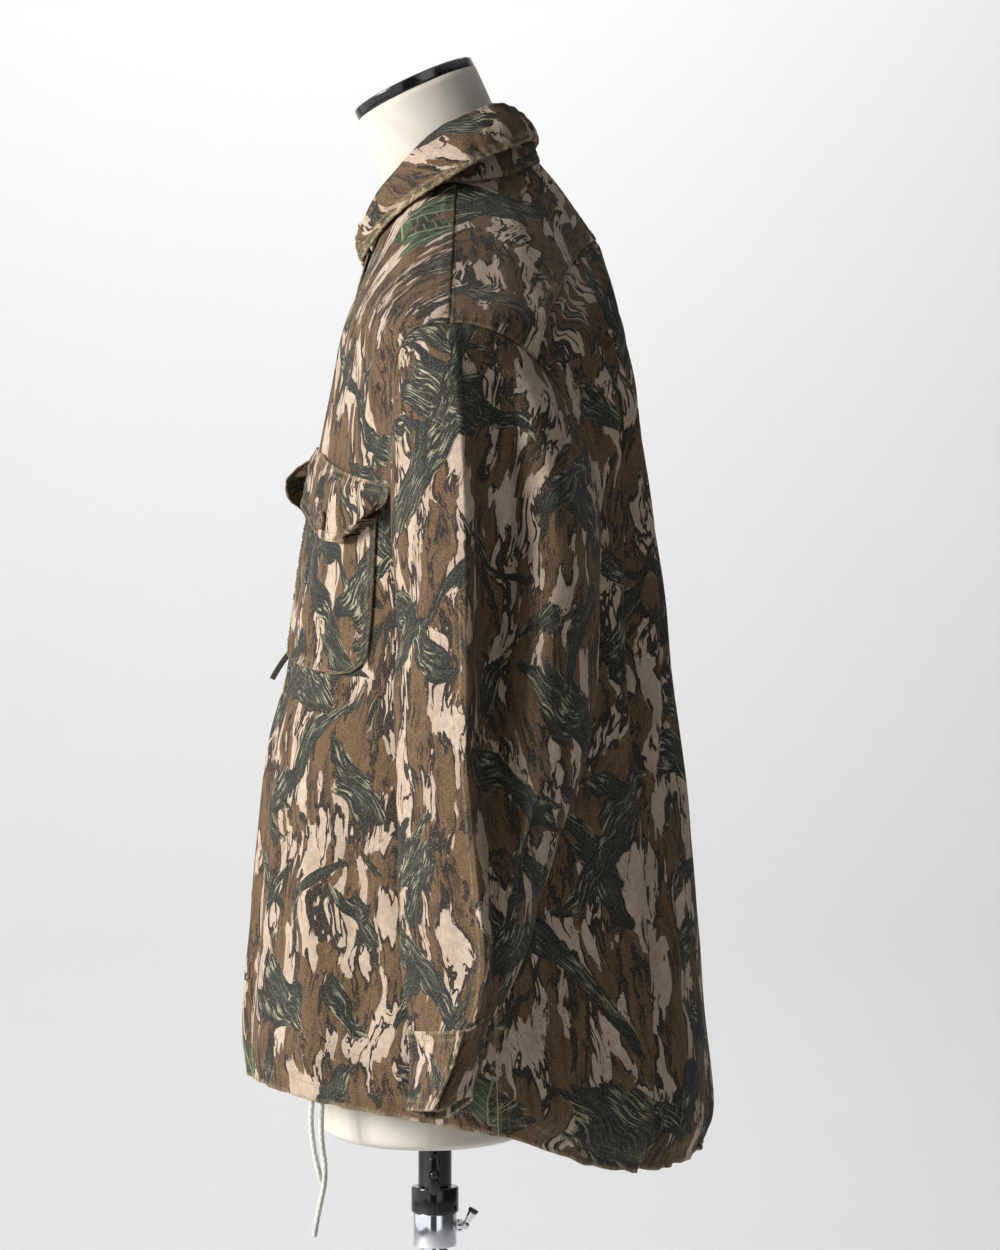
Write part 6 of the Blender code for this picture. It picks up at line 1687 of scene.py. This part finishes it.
def formSeams(grid, s):
    # four narrow upright marks, at set headings round the form
    x, y = grid[..., 0], grid[..., 1]
    heading = np.degrees(np.arctan2(x, -(y - y.mean(axis=1, keepdims=True)) * 1.7)) % 360.0
    mark = np.zeros(grid.shape[:2])
    for seam in s["seams"]:
        away = np.abs((heading - seam + 180.0) % 360.0 - 180.0)
        mark = np.maximum(mark, s["seamMark"] * bell(away, s["seamHalf"]))
    return mark


makeForm(formSet)

standSet = {
    # outer radius, bore radius, foot and top
    "pipe": (0.0134, 0.0113, 0.6996, 1.06), "ring": (0.019, 0.0112, 0.6787, 0.6993),
    "sleeve": (0.0175, 0.0112, 0.6515, 0.6784), "sides": 96,
    "pole": 0.01065, "poleTop": 0.86, "poleClear": 0.0003,
    "base": 0.2, "baseHeight": 0.012, "hub": 0.024, "hubHeight": 0.045, "baseSides": 160,
    "cap": 0.0514, "capHeight": 0.0088, "capSides": 120,
}


def tubeRings(outer, inner, low, high, bevel, sides):
    # down the outside, round the foot, up the bore and over the top, with every corner rounded
    middle = (inner + outer) / 2
    points = ((middle, high), (outer, high), (outer, low), (inner, low), (inner, high), (middle, high))
    return lathe(roundedProfile(points, bevel), sides)


def makeStand(s):
    # three tubes, then the pole, the base plate and the neck's cap
    for name, node, key, bevel, look, slot, body in (
            ("formPipe", "form_pipe", "pipe", 0.0006, blackGloss, "black_gloss", "form"),
            ("ringCollar", "ring_collar", "ring", 0.0016, blackGloss, "black_gloss", "carriage"),
            ("clampSleeve", "clamp_sleeve", "sleeve", 0.001, chromePlate, "chrome", "carriage")):
        addSolid(name, node, [(tubeRings(*s[key], bevel, s["sides"]), 0)], (look,), body)
    pole = discProfile(s["pole"], s["poleTop"], s["hubHeight"] + s["poleClear"], 0.0009)
    addSolid("standPole", "stand_pole", [(lathe(pole, s["sides"]), 0)], (chromePlate,), "stand")
    b, h, hub, up = s["base"], s["baseHeight"], s["hub"], s["hubHeight"]
    # down the hub, out over the plate's slope and round its rim
    plate = ((0.0, up), (hub - 0.001, up), (hub, h + 0.011), (hub + 0.012, h + 0.001), (b - 0.004, h - 0.003),
             (b, h - 0.006), (b, 0.0), (0.0, 0.0))
    plate = lathe(roundedProfile(plate, 0.0024, 6), s["baseSides"])
    addSolid("basePlate", "base_plate", [(plate, 0)], (basePaint,), "stand")
    # the neck's cap lies square to the line from the form's top front to its top back
    front, back = [np.array((0.0, formSet[side + "Y"][-1], formSet[side + "Z"][-1]))
            for side in ("front", "back")]
    slope = back - front
    normal = np.array((0.0, -slope[2], slope[1])) / np.linalg.norm(slope)
    middle = (front + back) / 2
    cap = lathe(discProfile(s["cap"], s["capHeight"], 0.0, 0.0016, 6), s["capSides"], normal,
                middle + normal * 0.0003)
    addSolid("neckCap", "neck_cap", [(cap, 0)], (blackGloss,))


screwSet = {
    "wingZ": 0.7112, "wingFrom": 0.0202, "wingThick": 0.0038, "wingShort": 0.0046, "wingLong": 0.0168,
    "wingPower": 7,
    "wingSides": 64, "shankFrom": 0.014, "shankLong": 0.011, "shank": 0.0045,
    "screwZ": 0.668, "foot": 0.0178, "root": 0.0062, "lean": (0.0, 0.5, 0.87), "sides": 28,
    "nut": (0.0055, 0.0042), "hub": (0.003, 0.0098, 0.0038),
    # profiles along the leaning lever, from its root
    "lever": ((0.0, 0.012), (0.0036, 0.0118), (0.0022, 0.002), (0.0, 0.002)),
    "knob": ((0.0, 0.0152), (0.0042, 0.015), (0.004, 0.0116), (0.0, 0.0116)),
}


def makeScrews(s):
    # the wing: a lens whose rim swells into two lobes, with a ball on its face and a shank behind
    turn = np.arange(s["wingSides"]) * 2 * math.pi / s["wingSides"]
    reach = s["wingShort"] + (s["wingLong"] - s["wingShort"]) * np.abs(np.cos(turn)) ** s["wingPower"]
    depth = np.linspace(0.02, math.pi - 0.02, 15)
    half = s["wingThick"] / 2 * (1.0 + 0.35 * (1 - np.abs(np.cos(turn))))
    x = np.cos(depth)[:, None] * half[None, :] + s["wingFrom"] + s["wingThick"] / 2
    radius = np.sin(depth)[:, None] ** 0.7 * reach[None, :]
    wing = np.stack((x, -radius * np.sin(turn)[None, :],
            s["wingZ"] + radius * np.cos(turn)[None, :]), axis=-1)
    wing = wing if gridNormals(wing, True)[1, 0, 0] > 0 else wing[:, ::-1]
    ball = rod((s["wingFrom"] + 0.0006, 0.0, s["wingZ"]),
               (s["wingFrom"] + s["wingThick"] + 0.0028, 0.0, s["wingZ"]), s["wingShort"], s["sides"])
    shank = discProfile(s["shank"], s["shankLong"], 0.0, 0.0006)
    shank = lathe(shank, s["sides"], (1, 0, 0), (s["shankFrom"], 0.0, s["wingZ"]))
    addSolid("wingBolt", "wing_bolt", [(wing, 0), (ball, 0), (shank, 0)],
             (blackGloss,), "wing")
    # the clamp's screw: a six-sided nut, a round hub, and a lever with a black knob that leans up and back
    radius, high = s["nut"]
    nut = lathe(discProfile(radius, high, 0.0, 0.0007), 6, (0, 1, 0), (0.0, s["foot"], s["screwZ"]))
    low, high, radius = s["hub"]
    hub = rod((0.0, s["foot"] + low, s["screwZ"]), (0.0, s["foot"] + high, s["screwZ"]), radius, s["sides"])
    root = (0.0, s["foot"] + s["root"], s["screwZ"])
    lever = lathe(roundedProfile(s["lever"], 0.0008), s["sides"], s["lean"], root)
    knob = lathe(roundedProfile(s["knob"], 0.001), s["sides"], s["lean"], root)
    addSolid("clampScrew", "clamp_screw", [(nut, 0), (hub, 0), (lever, 0), (knob, 1)],
             (chromePlate, blackGloss), "clamp")


makeStand(standSet)
makeScrews(screwSet)
print("form and stand made")


# the stage: a pale wall that curves into the floor, and soft light from the front and the wearer's left

def stageLook():
    look, tree, shader = newLook("studioPaper", Roughness=0.95, Specular_IOR_Level=0.1)
    where = placeOf(tree)
    mist = noiseAt(tree, where, 1.2, 2.0, kind="3D")
    tree.links.new(mixTo(tree, mist, (0.86, 0.86, 0.86, 1), (0.83, 0.83, 0.833, 1)),
            shader.inputs["Base Color"])
    # seen through from behind, so that the far side can be looked at too
    behind = addNode(tree, "ShaderNodeNewGeometry").outputs["Backfacing"]
    tree.links.new(calc(tree, "SUBTRACT", 1.0, behind), shader.inputs["Alpha"])
    return look


stageSet = {"near": 4.5, "wall": -3.7, "cove": 0.6, "high": 5.0, "half": 4.5}


def makeStage(s):
    # a straight floor, a quarter circle, and a straight wall
    bend = np.linspace(0.0, math.pi / 2, 24)
    x = np.concatenate(((s["near"],), s["wall"] + s["cove"] * (1 - np.sin(bend)), (s["wall"],)))
    z = np.concatenate(((0.0,), s["cove"] * (1 - np.cos(bend)), (s["high"],)))
    y = np.linspace(-s["half"], s["half"], 9)
    grid = np.stack(np.broadcast_arrays(x[:, None], y[None, :], z[:, None] - 0.0004), axis=-1)
    grid = grid if gridNormals(grid)[0, 0, 2] > 0 else grid[:, ::-1]
    paper = bpy.data.objects.new("studioPaper", gridMesh("studioPaper", grid))
    paper.data.materials.append(stageLook())
    bpy.context.scene.collection.objects.link(paper)
    return paper


def addLight(name, place, target, size, power, colour=(1.0, 1.0, 1.0)):
    # a square lamp at its place, turned to its target
    lamp = bpy.data.lights.new(name, "AREA")
    lamp.size = size
    lamp.energy = power
    lamp.color = colour
    holder = bpy.data.objects.new(name, lamp)
    holder.location = place
    holder.rotation_euler = (Vector(target) - Vector(place)).to_track_quat("-Z", "Y").to_euler()
    bpy.context.scene.collection.objects.link(holder)


lightSet = {
    # place, target, size, power and colour
    "window": ((1.3, -2.9, 2.0), (0.05, 0.0, 1.12), 1.3, 136.0, (1.0, 0.985, 0.96)),
    "fill": ((2.7, 0.9, 3.0), (0.0, 0.03, 1.3), 1.8, 9.5, (0.95, 0.98, 1.0)),
    "wall": ((-1.9, -0.2, 3.3), (-3.7, 0.1, 0.5), 2.4, 52.0, (1.0, 1.0, 1.0)),
    "world": 0.18, "mirrored": 1.05, "seen": 0.78,
}


def makeSky(s):
    # dim for lighting; bright in mirrors, but for two dark sides that stripe the chrome; pale to the camera
    sky = bpy.data.worlds.new("studio")
    sky.use_nodes = True
    tree = sky.node_tree
    everyWay = addNode(tree, "ShaderNodeTexCoord").outputs["Generated"]
    around = addNode(tree, "ShaderNodeSeparateXYZ", None, Vector=everyWay)
    heading = calc(tree, "ARCTAN2", around.outputs[1], around.outputs[0])
    behindShade = mapTo(tree, heading, 0.45, 0.8)
    cameraShade = mapTo(tree, calc(tree, "ABSOLUTE", calc(tree, "ADD", heading, 0.1)), 0.34, 0.22)
    level = mapTo(tree, around.outputs[2], 0.75, 0.35)
    shade = calc(tree, "MULTIPLY", calc(tree, "MAXIMUM", behindShade, cameraShade), level)
    glow = mixTo(tree, shade, (0.94, 0.96, 1.0, 1), (0.05, 0.05, 0.055, 1))
    path = addNode(tree, "ShaderNodeLightPath").outputs
    glow = mixTo(tree, path["Is Camera Ray"], glow, (0.98, 0.99, 1.0, 1))
    strength = s["world"]
    for ray, power in (("Is Glossy Ray", s["mirrored"]), ("Is Camera Ray", s["seen"])):
        strength = calc(tree, "MULTIPLY_ADD", path[ray], power - s["world"], strength)
    tree.links.new(glow, tree.nodes["Background"].inputs[0])
    tree.links.new(strength, tree.nodes["Background"].inputs[1])
    return sky


makeStage(stageSet)
for name in ("window", "fill", "wall"):
    addLight(name, *lightSet[name])
bpy.context.scene.world = makeSky(lightSet)
bpy.context.scene.view_settings.view_transform = "Standard"
print("stage and lights made")
